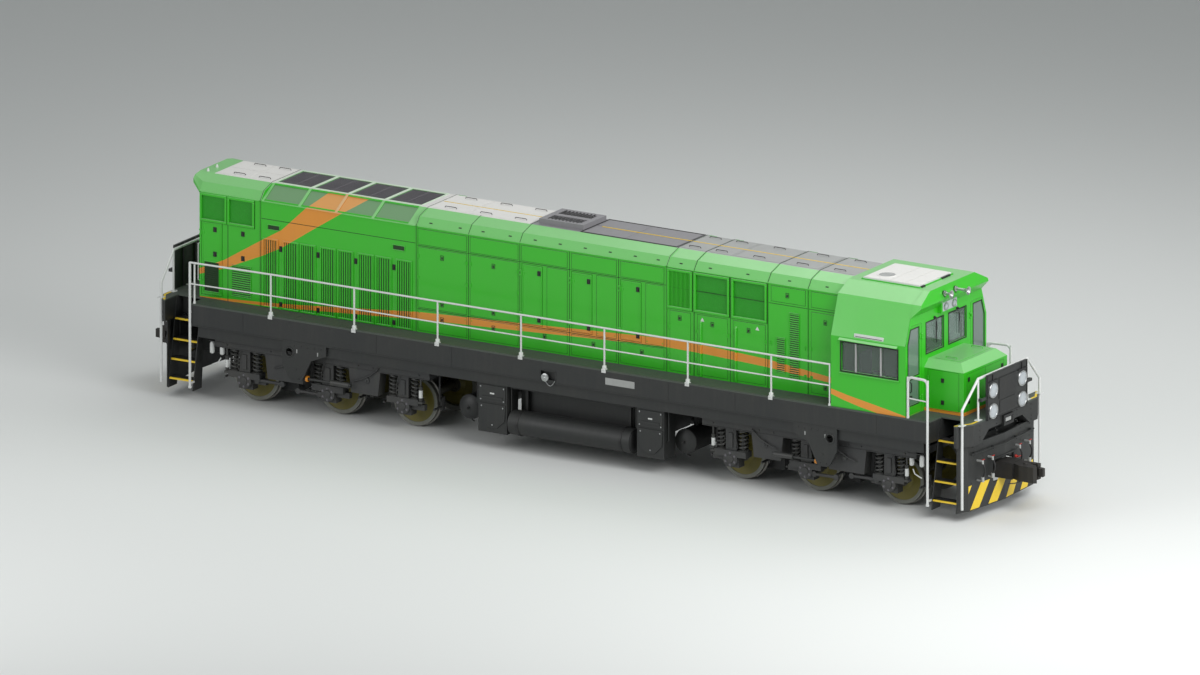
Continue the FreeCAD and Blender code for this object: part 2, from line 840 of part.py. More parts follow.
def electrical_hood():
    holes = wall_panels(filter_bays, filter_heights, -1, wall + 1)
    return hood_shell(rounded_hood_outline(), electric_start, cab_rear).cut(both_sides(holes))


silencer_size = (-1190, -130, 450, 110)


def silencer():
    x0, x1, half, height = silencer_size
    rim = 130
    frame = box(x0, x1, -half, half, roof_top, roof_top + height)
    slot = box(x0 + rim, x1 - rim, rim / 2, half - rim, roof_top + 20, roof_top + height + 1)
    return frame.cut(both_sides([slot]))


def engine_block():
    engine = box(-3100, 1500, -620, 620, deck_top, 3850)
    alternator = box(1500, 2700, -520, 520, deck_top, 3400)
    return join([engine, alternator])


# ---------------------------------------------------------------- cab
side_window = (6750, 8090, 2890, 3490)
pane = 12
windscreen = (108, 773)
windscreen_heights = (3280, 3915)
rear_window = (-1390, -1100, 3280, 3860)
front_leaf_heights = (2110, 3960)
front_hinge_line = 970
front_leaf_width = 540
front_leaf_margin = 70
front_leaf_windows = ((1070, 1480, 2920, 3900), (1070, 1430, 2310, 2840))
front_glass_margin = 100
rear_leaf = (390, 2110, 3940)
rear_hinge_line = 1440
rear_leaf_window = (1110, 1370, 3280, 3860)
visor_profile = ((8290, 4150), (8500, 4360), (8500, 4400), (8440, 4640), (8290, 4640))
light_box = (8376, 330, 4030, 4280)


def cab_outline(inset):
    half = [(cab_half - inset, deck_top), (cab_half - inset, cab_waist), (cab_eave_half - inset, cab_eave)]
    return mirrored_outline(half)


def cab_section(inset, x0, x1):
    return prism_x(cab_outline(inset), x0, x1)


def front_leaf_place(shape):
    """From the leaf's own drawing to the right of the cab front, hinged on its inner edge."""
    return moved(flip_x(shape), cab_front, -front_hinge_line, 0, 90)


def rear_leaf_place(shape):
    return moved(shape, cab_rear, rear_hinge_line, 0, -90)


def front_glazing(inset, x0, x1):
    """Outlines of the two windows in the right front door, between two planes."""
    limit = cab_section(inset, x0, x1)
    return [box(x0, x1, -outer, -inner, z0, z1).common(limit) for inner, outer, z0, z1 in front_leaf_windows]


def front_door():
    near, far = cab_front - cab_wall, cab_front
    slab = front_leaf_place(leaf(front_leaf_width, cab_wall, *front_leaf_heights))
    slab = slab.common(cab_section(front_leaf_margin, near - 1, far + 100))
    slab = slab.cut(front_glazing(front_glass_margin, near - 1, far + 1))
    middle = cab_front - cab_wall / 2
    return [slab] + front_glazing(front_glass_margin, middle, middle + pane)


def rear_door():
    y0, y1, z0, z1 = rear_leaf_window
    slab = rear_leaf_place(leaf(rear_leaf[0], cab_wall, *rear_leaf[1:]))
    slab = slab.cut(box(cab_rear - 1, cab_rear + cab_wall + 1, y0, y1, z0, z1))
    middle = cab_rear + cab_wall / 2
    return [slab, box(middle, middle + pane, y0, y1, z0, z1)]


def save_cab_doors():
    save("cab_front_right_door", front_door())
    save("cab_front_left_door", [flip_y(s) for s in front_door()])
    save("cab_rear_door", rear_door())


def windscreens(x0, x1):
    inner, outer = windscreen
    return both_sides([box(x0, x1, inner, outer, *windscreen_heights)])


def cab_shell():
    body = cab_section(0, cab_rear, cab_front)
    room = cab_section(cab_wall, cab_rear + cab_wall, cab_front - cab_wall)
    x0, x1, z0, z1 = side_window
    side = box(x0, x1, -cab_half - 1, cab_half + 1, z0, z1)
    y0, y1, z0, z1 = rear_window
    rear = box(cab_rear - 1, cab_rear + cab_wall + 1, y0, y1, z0, z1)
    doorway = front_leaf_place(leaf_hole(front_leaf_width, cab_wall, *front_leaf_heights))
    doorway = doorway.common(cab_section(front_leaf_margin - gap, cab_front - 2 * cab_wall, cab_front + cab_wall))
    rear_doorway = rear_leaf_place(leaf_hole(rear_leaf[0], cab_wall, *rear_leaf[1:]))
    holes = [room, side, rear, rear_doorway] + windscreens(cab_front - cab_wall - 1, cab_front + 1)
    lugs = both_sides([front_leaf_place(s) for s in leaf_lugs(*front_leaf_heights)])
    lugs += [rear_leaf_place(s) for s in leaf_lugs(*rear_leaf[1:])]
    return join([body.cut(holes + both_sides([doorway]))] + lugs)


def visor():
    """Wedge across the cab front, with the housing of the two headlights under it."""
    crown = [(cab_eave_half, cab_eave), (cab_crown_half, cab_crown)]
    half = [(cab_half, deck_top), (cab_half, cab_waist)] + crown
    front = visor_profile[1][0]
    wedge = prism_y(visor_profile, -cab_half, cab_half).common(prism_x(mirrored_outline(half), cab_front, front))
    face, half_width, z0, z1 = light_box
    return [wedge, box(cab_front, face, -half_width, half_width, z0, z1)]


def cab_roof():
    half = [(cab_eave_half, cab_eave), (cab_crown_half, cab_crown)]
    shell = prism_x(mirrored_outline(half), cab_rear, cab_front)
    inner = [(cab_eave_half - 90, cab_eave - 1), (cab_crown_half - 40, cab_crown - wall)]
    room = prism_x(mirrored_outline(inner), cab_rear + cab_wall, cab_front - cab_wall)
    return join([shell.cut(room)] + visor())


def cab_glass():
    x0, x1, z0, z1 = side_window
    inside = cab_half - cab_wall / 2
    panes = both_sides([box(x0, x1, -inside, -inside + pane, z0, z1)])
    plane = cab_front - cab_wall / 2
    panes += windscreens(plane, plane + pane)
    plane = cab_rear + cab_wall / 2
    y0, y1, z0, z1 = rear_window
    panes.append(box(plane, plane + pane, y0, y1, z0, z1))
    return panes


def cab_desk():
    return prism_y([(7900, deck_top), (8180, deck_top), (8180, 3150), (7950, 3100), (7850, 2950)], -850, 850)


seat_line = 1000


def cab_seats():
    seats = []
    for y in (-seat_line, seat_line):
        base = box(7100, 7400, y - 150, y + 150, deck_top, 2480)
        cushion = box(7000, 7520, y - 250, y + 250, 2480, 2600)
        back = box(6940, 7000, y - 240, y + 240, 2480, 3250)
        seats += [base, cushion, back]
    return seats


# ---------------------------------------------------------------- nose and fittings
def nose_block(inset, back, front):
    """Solid nose with sloped top edges, inset from the outer faces."""
    side = nose_half - inset
    top = nose_top - inset
    across = mirrored_outline([(side, deck_top), (side, nose_shoulder), (side - nose_slope, top)])
    along = [(back, deck_top), (front, deck_top), (front, nose_shoulder), (front - nose_slope, top), (back, top)]
    return prism_x(across, back, front).common(prism_y(along, -nose_half, nose_half))


def nose():
    return nose_block(0, cab_front, nose_front).cut(nose_block(wall, cab_front - 1, nose_front - wall))


panel_back = frame_end + 1
panel_thickness = 40
panel_half = 780
panel_heights = (2050, 3010)
panel_arm = (2500, 2560)
lamp_line = 568
lamp_rows = (2655, 2215)
lamp_radius = 165
lamp_depth = 35


def lamp_panel():
    plate = box(panel_back, panel_back + panel_thickness, -panel_half, panel_half, *panel_heights)
    arm = box(panel_back, panel_back + 30, panel_half, end_post_half + 30, *panel_arm)
    leg = box(end_rail_x + inner_post_radius + seat_gap, panel_back, end_post_half - 30, end_post_half + 30,
              *panel_arm)
    return join([plate] + both_sides([arm, leg]))


def lamps():
    face = panel_back + panel_thickness
    return [Part.makeCylinder(lamp_radius, lamp_depth, V(face, side * lamp_line, z), V(1, 0, 0))
            for side in (-1, 1) for z in lamp_rows]


headlight = (80, 160, 4150, 30)


def headlights():
    radius, line, z, depth = headlight
    return both_sides([Part.makeCylinder(radius, depth, V(light_box[0], -line, z), V(1, 0, 0))])


# each horn: Y of its axis, length of its trumpet
horn_table = ((-390, 180), (40, 330))
horn_height = 4490


def horns():
    """Two trumpets of different length, standing out of the sloped face of the visor."""
    (low_x, low_z), (high_x, high_z) = visor_profile[2:4]
    face = low_x + (high_x - low_x) * (horn_height - low_z) / (high_z - low_z)
    shapes = []
    for y, length in horn_table:
        flange = Part.makeCylinder(60, 30, V(face - 10, y, horn_height), V(1, 0, 0))
        bell = Part.makeCone(28, 75, length - 20, V(face + 20, y, horn_height), V(1, 0, 0))
        wedge = prism_y(visor_profile, -cab_half, cab_half)
        shapes.append(join([flange, bell]).cut(wedge))
    return shapes


conditioner = (6780, 8130, -770, 470)
conditioner_height = 45


def air_conditioner():
    return box(*conditioner, cab_crown, cab_crown + conditioner_height)


# ---------------------------------------------------------------- couplers
knuckle_pin = (coupler_face - 190, 95)
knuckle_pin_radius = 20
shank_half = 75
shank_height = 65
head_height = 165
ear_height = 75
knuckle_height = 85
guide_span = (9600, 10010)
guide_half = 230


def coupler():
    middle = coupler_height
    shank = box(coupler_pin_x - 110, 10200, -shank_half, shank_half, middle - shank_height, middle + shank_height)
    guide = box(*guide_span, -guide_half, guide_half, middle - head_height, middle + head_height)
    head = prism_z([(10000, -150), (10180, -240), (10540, -260), (10600, -210), (10480, -60), (10400, -30),
                    (10330, 20), (10290, 40), (10290, 150), (10000, 150)], middle - head_height, middle + head_height)
    ears = [box(10290, 10470, 40, 160, z, z + ear_height)
            for z in (middle - head_height, middle + head_height - ear_height)]
    x, y = knuckle_pin
    bore = rod((coupler_pin_x, 0, 0), (coupler_pin_x, 0, 2 * middle), coupler_pin_radius + seat_gap)
    pin = rod((x, y, middle - head_height - 10), (x, y, middle + head_height + 10), knuckle_pin_radius)
    return join([join([shank, guide, head] + ears).cut(bore), pin])


def knuckle():
    x, y = knuckle_pin
    hook = prism_z([(x - 60, y - 40), (x + 60, y - 60), (x + 100, y - 90), (x + 190, y - 80), (x + 185, y + 20),
                    (x + 60, y + 50), (x - 60, y + 50)],
                   coupler_height - knuckle_height, coupler_height + knuckle_height)
    return hook.cut(rod((x, y, 0), (x, y, 2 * coupler_height), knuckle_pin_radius + seat_gap))


# ---------------------------------------------------------------- brake hoses
# Front end: Y of each hose, from the cock on the end plate to its resting coupling on the pilot.
hose_lines = (-960, -570, 490, 880)
hose_plane = frame_end + 40
hose_top, hose_low = 1190, 900
hose_radius = 19
hose_bulge = 55
elbow_height = 50
elbow_radius = 24
rest_plate = (12, 60, 90)
rest_coupling = (34, 95, 5)


def brake_hose(y):
    """Hose held at both ends: a shallow arc bulging forward."""
    half = (hose_top - hose_low) / 2
    bend = (half ** 2 + hose_bulge ** 2) / (2 * hose_bulge)
    middle = V(hose_plane + hose_bulge - bend, y, hose_low + half)
    angle = degrees(asin(half / bend))
    start = V(hose_plane, y, hose_low)
    tangent = V(sin(radians(angle)), 0, cos(radians(angle)))
    section = Part.Face(Part.Wire(Part.Circle(start, tangent, hose_radius).toShape()))
    return section.revolve(middle, V(0, -1, 0), 2 * angle)


def hose_fittings(y):
    """Cock with its elbow at the top of a hose, and the resting coupling with its bracket below."""
    back = pilot_face(y) - pilot_plate / 2
    elbow_z = hose_top + elbow_height
    half, rest_up, rest_down = rest_plate
    radius, reach_down, reach_up = rest_coupling
    pipe = rod((back, y, elbow_z), (hose_plane, y, elbow_z), elbow_radius)
    drop = rod((hose_plane, y, hose_top - reach_up), (hose_plane, y, elbow_z), elbow_radius)
    knob = ball((hose_plane, y, elbow_z), elbow_radius)
    rest = box(back, hose_plane, y - half, y + half, hose_low - rest_down, hose_low - rest_up)
    coupling = rod((hose_plane, y, hose_low - reach_down), (hose_plane, y, hose_low + reach_up), radius)
    around = [pilot(), brake_hose(y)]
    return [join([pipe, drop, knob]).cut(around), join([rest, coupling]).cut(around)]


# ---------------------------------------------------------------- files
def build():
    os.makedirs("parts", exist_ok=True)
    save("underframe", both_sides(side_beams()) + both_ends(headstock() + [draft_pocket()]))
    save("cross_beams", cross_beams())
    save("deck", [deck()])
    save("stairs", all_corners([stairs()]))
    save("pilots", both_ends([pilot()]))
    save("lifting_brackets", all_corners([lifting_bracket(), yaw_damper()]))
    save("brake_hoses", both_ends([s for y in hose_lines for s in [brake_hose(y)] + hose_fittings(y)]))
    save("fuel_tank", [fuel_tank()])
    save("air_reservoirs", side_reservoirs() + [cross_reservoir(x) for x in cross_reservoir_spots])
    save("equipment_boxes", equipment_boxes())
    save("side_handrails", both_sides(side_handrail() + cab_handrail()))
    save("end_handrails", both_ends(end_handrail()))
    save("rear_hood", [rear_hood()])
    save("cooling_hood", [cooling_hood()])
    save("roof_shutters", roof_shutters())
    save("engine_hood", [engine_hood()])
    save("electrical_hood", [electrical_hood()])
    save("hood_grilles", grille_panels())
    save("hood_windows", hood_windows())
    save("silencer", [silencer()])
    save("engine_block", [engine_block()])
    save("cab_shell", [cab_shell()])
    save("cab_roof", [cab_roof()])
    save("cab_glass", cab_glass())
    save("cab_desk", [cab_desk()])
    save("cab_seats", cab_seats())
    save("nose", [nose()])
    save("lamp_panels", both_ends([lamp_panel()]))
    save("lamps", both_ends(lamps()) + headlights())
    save("horns", horns())
    save("air_conditioner", [air_conditioner()])
    for name, turn in (("front", 0), ("rear", 180)):
        save(name + "_coupler", [moved(coupler(), 0, 0, 0, turn)])
        save(name + "_knuckle", [moved(knuckle(), 0, 0, 0, turn)])
    save_bogie("front", 1)
    save_bogie("rear", -1)
    save_wheelsets()
    save_hood_doors()
    save_cab_doors()


build()
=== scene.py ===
import math

import bmesh
import bpy
from mathutils import Matrix, Vector


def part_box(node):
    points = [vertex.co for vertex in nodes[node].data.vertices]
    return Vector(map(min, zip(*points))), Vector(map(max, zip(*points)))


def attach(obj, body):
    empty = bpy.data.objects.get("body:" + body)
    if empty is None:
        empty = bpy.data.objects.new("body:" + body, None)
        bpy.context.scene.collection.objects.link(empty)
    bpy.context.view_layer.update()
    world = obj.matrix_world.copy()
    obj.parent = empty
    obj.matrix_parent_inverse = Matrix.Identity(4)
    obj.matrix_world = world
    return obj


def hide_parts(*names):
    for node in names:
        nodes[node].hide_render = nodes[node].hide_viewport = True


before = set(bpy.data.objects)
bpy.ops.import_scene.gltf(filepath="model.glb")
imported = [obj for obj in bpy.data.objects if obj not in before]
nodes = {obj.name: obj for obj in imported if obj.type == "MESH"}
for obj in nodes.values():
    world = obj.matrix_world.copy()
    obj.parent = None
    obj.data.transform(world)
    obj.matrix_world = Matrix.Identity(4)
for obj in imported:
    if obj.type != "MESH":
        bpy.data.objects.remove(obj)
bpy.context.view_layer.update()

# Metres, in the frame of the CAD: +X to the cab end, +Y to the left, +Z up. OUT is out of the right side.
FORWARD, LEFT, UP, OUT = (1, 0, 0), (0, 1, 0), (0, 0, 1), (0, -1, 0)


def edge(node, axis, end):
    """One coordinate of a node's box: axis 0, 1 or 2, end 0 for the low corner and 1 for the high one."""
    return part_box(node)[end][axis]


SIDE = edge("electrical_hood", 1, 1)
ROOF = edge("electrical_hood", 2, 1)
DECK = edge("deck", 2, 1)
DECK_HALF = edge("deck", 1, 1)
CAB_SIDE = edge("cab_shell", 1, 1)
CAB_REAR = edge("cab_roof", 0, 0)
CAB_FRONT = edge("nose", 0, 0)
NOSE_FRONT = edge("nose", 0, 1)
NOSE_TOP = edge("nose", 2, 1)
FRAME_END = edge("deck", 0, 1)
COOLING_START = edge("cooling_hood", 0, 0)
ENGINE_START = edge("engine_hood", 0, 0)
ELECTRIC_START = edge("electrical_hood", 0, 0)
HOOD_REAR = edge("rear_hood", 0, 0) + 0.29
CROWN = edge("cab_roof", 2, 1)
# The rolled roof edge runs from the shoulder over the haunch to ROOF_HALF from the middle.
SHOULDER = ROOF - 0.28
HAUNCH = (0.9, ROOF - 0.11)
ROOF_HALF = 0.56

# Degrees above which an edge is drawn sharp, and above which it is bevelled.
SHARP_ANGLE, BEVEL_ANGLE = 38, 40


# ---------------------------------------------------------------- colours and materials
def srgb(red, green, blue):
    """Screen colour, 0 to 255, as linear light."""
    def linear(value):
        value /= 255
        return value / 12.92 if value <= 0.04045 else ((value + 0.055) / 1.055) ** 2.4
    return (linear(red), linear(green), linear(blue), 1)


class Nodes:
    """Short words for building a node tree."""

    def __init__(self, name):
        self.material = bpy.data.materials.new(name)
        self.material.use_nodes = True
        self.tree = self.material.node_tree
        self.tree.nodes.clear()
        self.shader = self.new("ShaderNodeBsdfPrincipled")
        output = self.new("ShaderNodeOutputMaterial")
        self.tree.links.new(self.shader.outputs[0], output.inputs[0])
        self.place = self.new("ShaderNodeTexCoord").outputs["Object"]
        split = self.new("ShaderNodeSeparateXYZ")
        self.link(self.place, split.inputs[0])
        self.x, self.y, self.z = split.outputs

    def new(self, kind):
        return self.tree.nodes.new(kind)

    def link(self, source, target):
        """Feeds a socket from another socket or from a plain value."""
        if isinstance(source, bpy.types.NodeSocket):
            self.tree.links.new(source, target)
        else:
            target.default_value = source

    def math(self, operation, *values):
        node = self.new("ShaderNodeMath")
        node.operation = operation
        for socket, value in zip(node.inputs, values):
            self.link(value, socket)
        return node.outputs[0]

    def noise(self, scale, detail=4, stretch=(1, 1, 1)):
        mapping = self.new("ShaderNodeMapping")
        mapping.inputs["Scale"].default_value = stretch
        self.link(self.place, mapping.inputs[0])
        node = self.new("ShaderNodeTexNoise")
        node.inputs["Scale"].default_value = scale
        node.inputs["Detail"].default_value = detail
        self.link(mapping.outputs[0], node.inputs["Vector"])
        return node.outputs[0]

    def spread(self, value, low, high, to_low, to_high):
        node = self.new("ShaderNodeMapRange")
        for socket, number in zip(node.inputs, (value, low, high, to_low, to_high)):
            self.link(number, socket)
        return node.outputs[0]

    def mix(self, factor, first, second):
        node = self.new("ShaderNodeMix")
        node.data_type = "RGBA"
        self.link(factor, node.inputs[0])
        self.link(first, node.inputs[6])
        self.link(second, node.inputs[7])
        return node.outputs[2]

    def curve(self, value, points):
        """Value through straight runs between points, given in plain units."""
        xs = [p[0] for p in points]
        zs = [p[1] for p in points]
        low, high = min(zs), max(zs)
        node = self.new("ShaderNodeFloatCurve")
        handles = node.mapping.curves[0].points
        for i, (x, z) in enumerate(points):
            spot = ((x - xs[0]) / (xs[-1] - xs[0]), (z - low) / (high - low))
            if i in (0, len(points) - 1):
                point = handles[0 if i == 0 else -1]
                point.location = spot
            else:
                point = handles.new(*spot)
            point.handle_type = "VECTOR"
        node.mapping.update()
        self.link(self.spread(value, xs[0], xs[-1], 0, 1), node.inputs["Value"])
        return self.spread(node.outputs[0], 0, 1, low, high)

    def above(self, value, limit):
        return self.math("GREATER_THAN", value, limit)

    def below(self, value, limit):
        return self.math("LESS_THAN", value, limit)

    def between(self, value, low, high):
        return self.math("MULTIPLY", self.above(value, low), self.below(value, high))

    def wave(self, value, rate):
        return self.math("SINE", self.math("MULTIPLY", value, rate))

    def both(self, *masks):
        result = masks[0]
        for mask in masks[1:]:
            result = self.math("MULTIPLY", result, mask)
        return result

    def facing_up(self):
        """How far the surface faces the sky: 1 flat, 0 upright."""
        split = self.new("ShaderNodeSeparateXYZ")
        self.link(self.new("ShaderNodeNewGeometry").outputs["Normal"], split.inputs[0])
        return split.outputs[2]

    def bump(self, height, distance, strength):
        node = self.new("ShaderNodeBump")
        node.inputs["Distance"].default_value = distance
        node.inputs["Strength"].default_value = strength
        self.link(height, node.inputs["Height"])
        self.link(node.outputs[0], self.shader.inputs["Normal"])

    def put(self, name, value):
        self.link(value, self.shader.inputs[name])


def weathered(n, colour, rough, dirt, grain=90, depth=0.0006):
    """Paint with patches, rain streaks and a fine grain."""
    patches = n.spread(n.noise(1.1, 6), 0.35, 0.75, 0, 1)
    streaks = n.spread(n.noise(3.5, 5, (3, 3, 0.35)), 0.5, 0.8, 0, 1)
    grime = n.math("MULTIPLY", n.math("ADD", patches, streaks), dirt)
    n.put("Base Color", n.mix(grime, colour, GRIME))
    n.put("Roughness", n.spread(n.math("ADD", patches, n.noise(14, 3)), 0.2, 1.7, rough - 0.07, rough + 0.1))
    n.bump(n.noise(grain, 3), depth, 0.35)


def paint(name, colour, rough=0.45, dirt=0.06, metallic=0.0, grain=90, depth=0.0006, coat=0.0):
    n = Nodes(name)
    weathered(n, colour, rough, dirt, grain, depth)
    n.put("Metallic", metallic)
    if coat:
        n.put("Coat Weight", coat)
        n.put("Coat Roughness", 0.2)
    return n.material


GREEN = srgb(46, 178, 22)
ORANGE = srgb(214, 138, 40)
ROOF_GREY = srgb(220, 219, 215)
ROOF_MID = srgb(158, 160, 158)
ROOF_DARK = srgb(132, 131, 134)
# Pale green of the painted highlight on faces that look up.
PALE_HIGHLIGHT = srgb(206, 228, 202)
GRIME = srgb(96, 92, 82)

# Waves per metre, times two pi: the floor's lozenges and the threads of the seat cloth.
LOZENGE_RATE = 190
THREAD_RATE = 1400
# Distances from the axle where a wheel changes colour, and the heights between which a brake hose is rubber.
HUB, RIM, TREAD = 0.165, 0.448, 0.52
RUBBER_LOW, RUBBER_HIGH = 0.905, 1.185

LOWER_STRIPE_LOW = [(-9.0, 2.06), (-7.5, 2.115), (-6.6, 2.16), (-3.74, 2.348), (-1.3, 2.455), (1.58, 2.588),
                    (2.23, 2.608), (3.2, 2.59), (4.6, 2.528), (6.13, 2.408), (6.5, 2.358), (6.78, 2.27),
                    (7.2, 2.17), (7.7, 2.08), (8.3, 2.0)]
LOWER_STRIPE_HIGH = [(-9.0, 2.1), (-7.5, 2.18), (-6.6, 2.25), (-3.74, 2.508), (-1.3, 2.62), (1.58, 2.758),
                     (2.23, 2.788), (3.2, 2.77), (4.6, 2.698), (6.13, 2.528), (6.5, 2.468), (6.9, 2.38),
                     (7.4, 2.29), (7.9, 2.2), (8.3, 2.12)]
REAR_BAND_LOW = [(-9.3, 2.5), (-8.99, 2.568), (-8.39, 2.768), (-7.47, 3.168), (-7.01, 3.398), (-6.28, 3.878),
                 (-5.45, 4.408), (-5.1, 4.64), (-4.6, 4.97)]
REAR_BAND_HIGH = [(-9.3, 2.62), (-8.99, 2.688), (-8.39, 2.948), (-7.47, 3.508), (-7.01, 3.778),
                  (-6.37, 4.378), (-6.1, 4.64), (-5.8, 4.93), (-4.6, 6.2)]


def body_paint(name, base=GREEN, roof=True, top_highlight=0.32):
    """Green with the long low stripe, the rising band at the rear, a grey roof and a painted pale highlight
    on what faces up.
    """
    n = Nodes(name)
    out = n.math("ABSOLUTE", n.y)
    on_side = n.above(out, ROOF_HALF - 0.06)
    lower = n.both(n.above(n.z, n.curve(n.x, LOWER_STRIPE_LOW)),
                   n.below(n.z, n.curve(n.x, LOWER_STRIPE_HIGH)),
                   n.above(out, SIDE - 0.03),
                   n.below(n.x, CAB_FRONT - 0.004))
    rising = n.both(n.above(n.z, n.curve(n.x, REAR_BAND_LOW)),
                    n.below(n.z, n.curve(n.x, REAR_BAND_HIGH)),
                    on_side, n.below(n.x, -4.7))
    nose_line = n.both(n.above(n.x, CAB_FRONT), n.below(n.z, DECK + 0.07))
    colour = n.mix(n.math("MAXIMUM", n.math("MAXIMUM", lower, rising), nose_line), base, ORANGE)
    # Painted highlight: faces that look up are mixed towards pale green, for the bright sky glinting on them.
    colour = n.mix(n.spread(n.facing_up(), 0.2, 0.75, 0, top_highlight), colour, PALE_HIGHLIGHT)
    if roof:
        on_roof = n.both(n.above(n.z, ROOF - 0.004), n.between(n.x, HOOD_REAR + 0.08, CAB_REAR),
                         n.math("SUBTRACT", 1, n.both(rising, n.above(out, 0.5))))
        colour = n.mix(on_roof, colour, ROOF_GREY)
        colour = n.mix(n.both(on_roof, n.between(n.x, -1.34, ELECTRIC_START)), colour, ROOF_DARK)
        colour = n.mix(n.both(on_roof, n.above(n.x, ELECTRIC_START)), colour, ROOF_MID)
    weathered(n, colour, 0.36, 0.035, 120, 0.0004)
    n.put("Coat Weight", 0.25)
    n.put("Coat Roughness", 0.18)
    return n.material


def wheel_paint(name, axle_x, axle_z):
    """Olive disc, pale painted rim, bright tread and a darker hub, by distance from the axle."""
    n = Nodes(name)
    across = n.math("SUBTRACT", n.x, axle_x)
    up = n.math("SUBTRACT", n.z, axle_z)
    reach = n.math("SQRT", n.math("ADD", n.math("MULTIPLY", across, across), n.math("MULTIPLY", up, up)))
    colour = n.mix(n.above(reach, HUB), srgb(56, 54, 44), srgb(104, 96, 14))
    colour = n.mix(n.above(reach, RIM), colour, srgb(118, 120, 112))
    tread = n.above(reach, TREAD)
    colour = n.mix(tread, colour, srgb(150, 148, 142))
    weathered(n, colour, 0.5, 0.22, 60, 0.001)
    n.put("Metallic", n.math("MULTIPLY", tread, 0.8))
    return n.material


def deck_paint(name):
    """Anti-slip floor: raised lozenges in both directions."""
    n = Nodes(name)
    weathered(n, srgb(66, 74, 68), 0.62, 0.16)
    diagonal = n.math("MULTIPLY", n.wave(n.math("ADD", n.x, n.y), LOZENGE_RATE),
                      n.wave(n.math("SUBTRACT", n.x, n.y), LOZENGE_RATE))
    n.bump(n.spread(diagonal, 0.4, 0.8, 0, 1), 0.0012, 0.6)
    return n.material


def mesh_screen(name, colour, pitch):
    """Woven wire: bright wires over holes painted dark, as painted shade of what lies behind."""
    n = Nodes(name)
    rate = math.pi / pitch
    across = n.math("ABSOLUTE", n.wave(n.x, rate))
    up = n.math("ABSOLUTE", n.wave(n.z, rate))
    wires = n.math("MAXIMUM", across, up)
    shade = n.spread(wires, 0.8, 0.95, 0, 1)
    # Painted shade: the holes take the wire colour darkened, for the shaded inside behind the grille.
    dark = tuple(value * 0.4 for value in colour[:3]) + (1,)
    n.put("Base Color", n.mix(shade, dark, colour))
    n.put("Roughness", n.spread(n.noise(8), 0.3, 0.7, 0.5, 0.65))
    n.bump(shade, 0.003, 0.7)
    return n.material


def glass(name, tint, rough):
    n = Nodes(name)
    n.put("Base Color", tint)
    n.put("Transmission Weight", 0.9)
    n.put("IOR", 1.45)
    n.put("Roughness", n.spread(n.noise(3, 5), 0.3, 0.8, rough, rough + 0.06))
    n.bump(n.noise(1.5, 2), 0.001, 0.15)
    return n.material


def hose_paint(name):
    """Black rubber between the couplings, pale plated metal above and below."""
    n = Nodes(name)
    on_hose = n.between(n.z, RUBBER_LOW, RUBBER_HIGH)
    weathered(n, n.mix(on_hose, srgb(176, 178, 176), srgb(22, 22, 24)), 0.5, 0.08, 160)
    n.put("Metallic", n.math("MULTIPLY", n.math("SUBTRACT", 1, on_hose), 0.6))
    return n.material


def cloth(name, colour):
    n = Nodes(name)
    weave = n.math("MULTIPLY", n.wave(n.math("ADD", n.y, n.x), THREAD_RATE), n.wave(n.z, THREAD_RATE))
    n.put("Base Color", n.mix(n.spread(weave, -1, 1, 0, 0.6), colour, srgb(90, 96, 110)))
    n.put("Roughness", n.spread(n.noise(30), 0.3, 0.7, 0.75, 0.95))
    n.put("Sheen Weight", 0.3)
    n.bump(weave, 0.0008, 0.5)
    return n.material


body_green = body_paint("body_green_paint")
plain_green = paint("trim_green_paint", GREEN, 0.36, 0.04, coat=0.25)
dark_green = paint("seam_dark_green", srgb(10, 52, 8), 0.6, 0.05)
pale_green = paint("pale_edge_green", srgb(204, 224, 200), 0.4, 0.04)
panel_grey = paint("roof_grey_paint", ROOF_GREY, 0.5, 0.06)
roof_mid = paint("roof_mid_paint", ROOF_MID, 0.5, 0.08)
roof_dark = paint("roof_dark_paint", ROOF_DARK, 0.5, 0.08)
white_paint = paint("white_gloss_paint", srgb(206, 208, 206), 0.35, 0.05, coat=0.2)
frame_grey = paint("frame_grey_paint", srgb(35, 37, 37), 0.5, 0.06)
black_paint = paint("black_paint", srgb(26, 27, 28), 0.5, 0.06)
bogie_grey = paint("bogie_grey_paint", srgb(50, 51, 52), 0.55, 0.14, grain=50, depth=0.0015)
spring_grey = paint("spring_grey_paint", srgb(52, 53, 52), 0.45, 0.12)
cast_steel = paint("cast_steel", srgb(44, 43, 42), 0.6, 0.15, 0.3, 40, 0.002)
bright_steel = paint("bright_steel", srgb(176, 178, 178), 0.28, 0.05, 0.8)
yellow_paint = paint("yellow_paint", srgb(228, 194, 44), 0.45, 0.04)
orange_paint = paint("orange_paint", ORANGE, 0.4, 0.04)
red_paint = paint("red_paint", srgb(170, 40, 30), 0.4, 0.06)
rubber = paint("black_rubber", srgb(20, 20, 21), 0.7, 0.05, grain=200)
interior_grey = paint("cab_lining", srgb(126, 132, 130), 0.6, 0.04)
engine_grey = paint("engine_paint", srgb(128, 132, 128), 0.45, 0.12)
deck_grey = deck_paint("deck_grey_paint")
grille_green = mesh_screen("grille_green_mesh", srgb(34, 166, 24), 0.018)
hose_black = hose_paint("hose_rubber_and_fittings")
shutter_grey = paint("shutter_grey_paint", srgb(100, 98, 103), 0.5, 0.08)
tinted_glass = glass("tinted_cab_glass", srgb(178, 196, 188), 0.02)
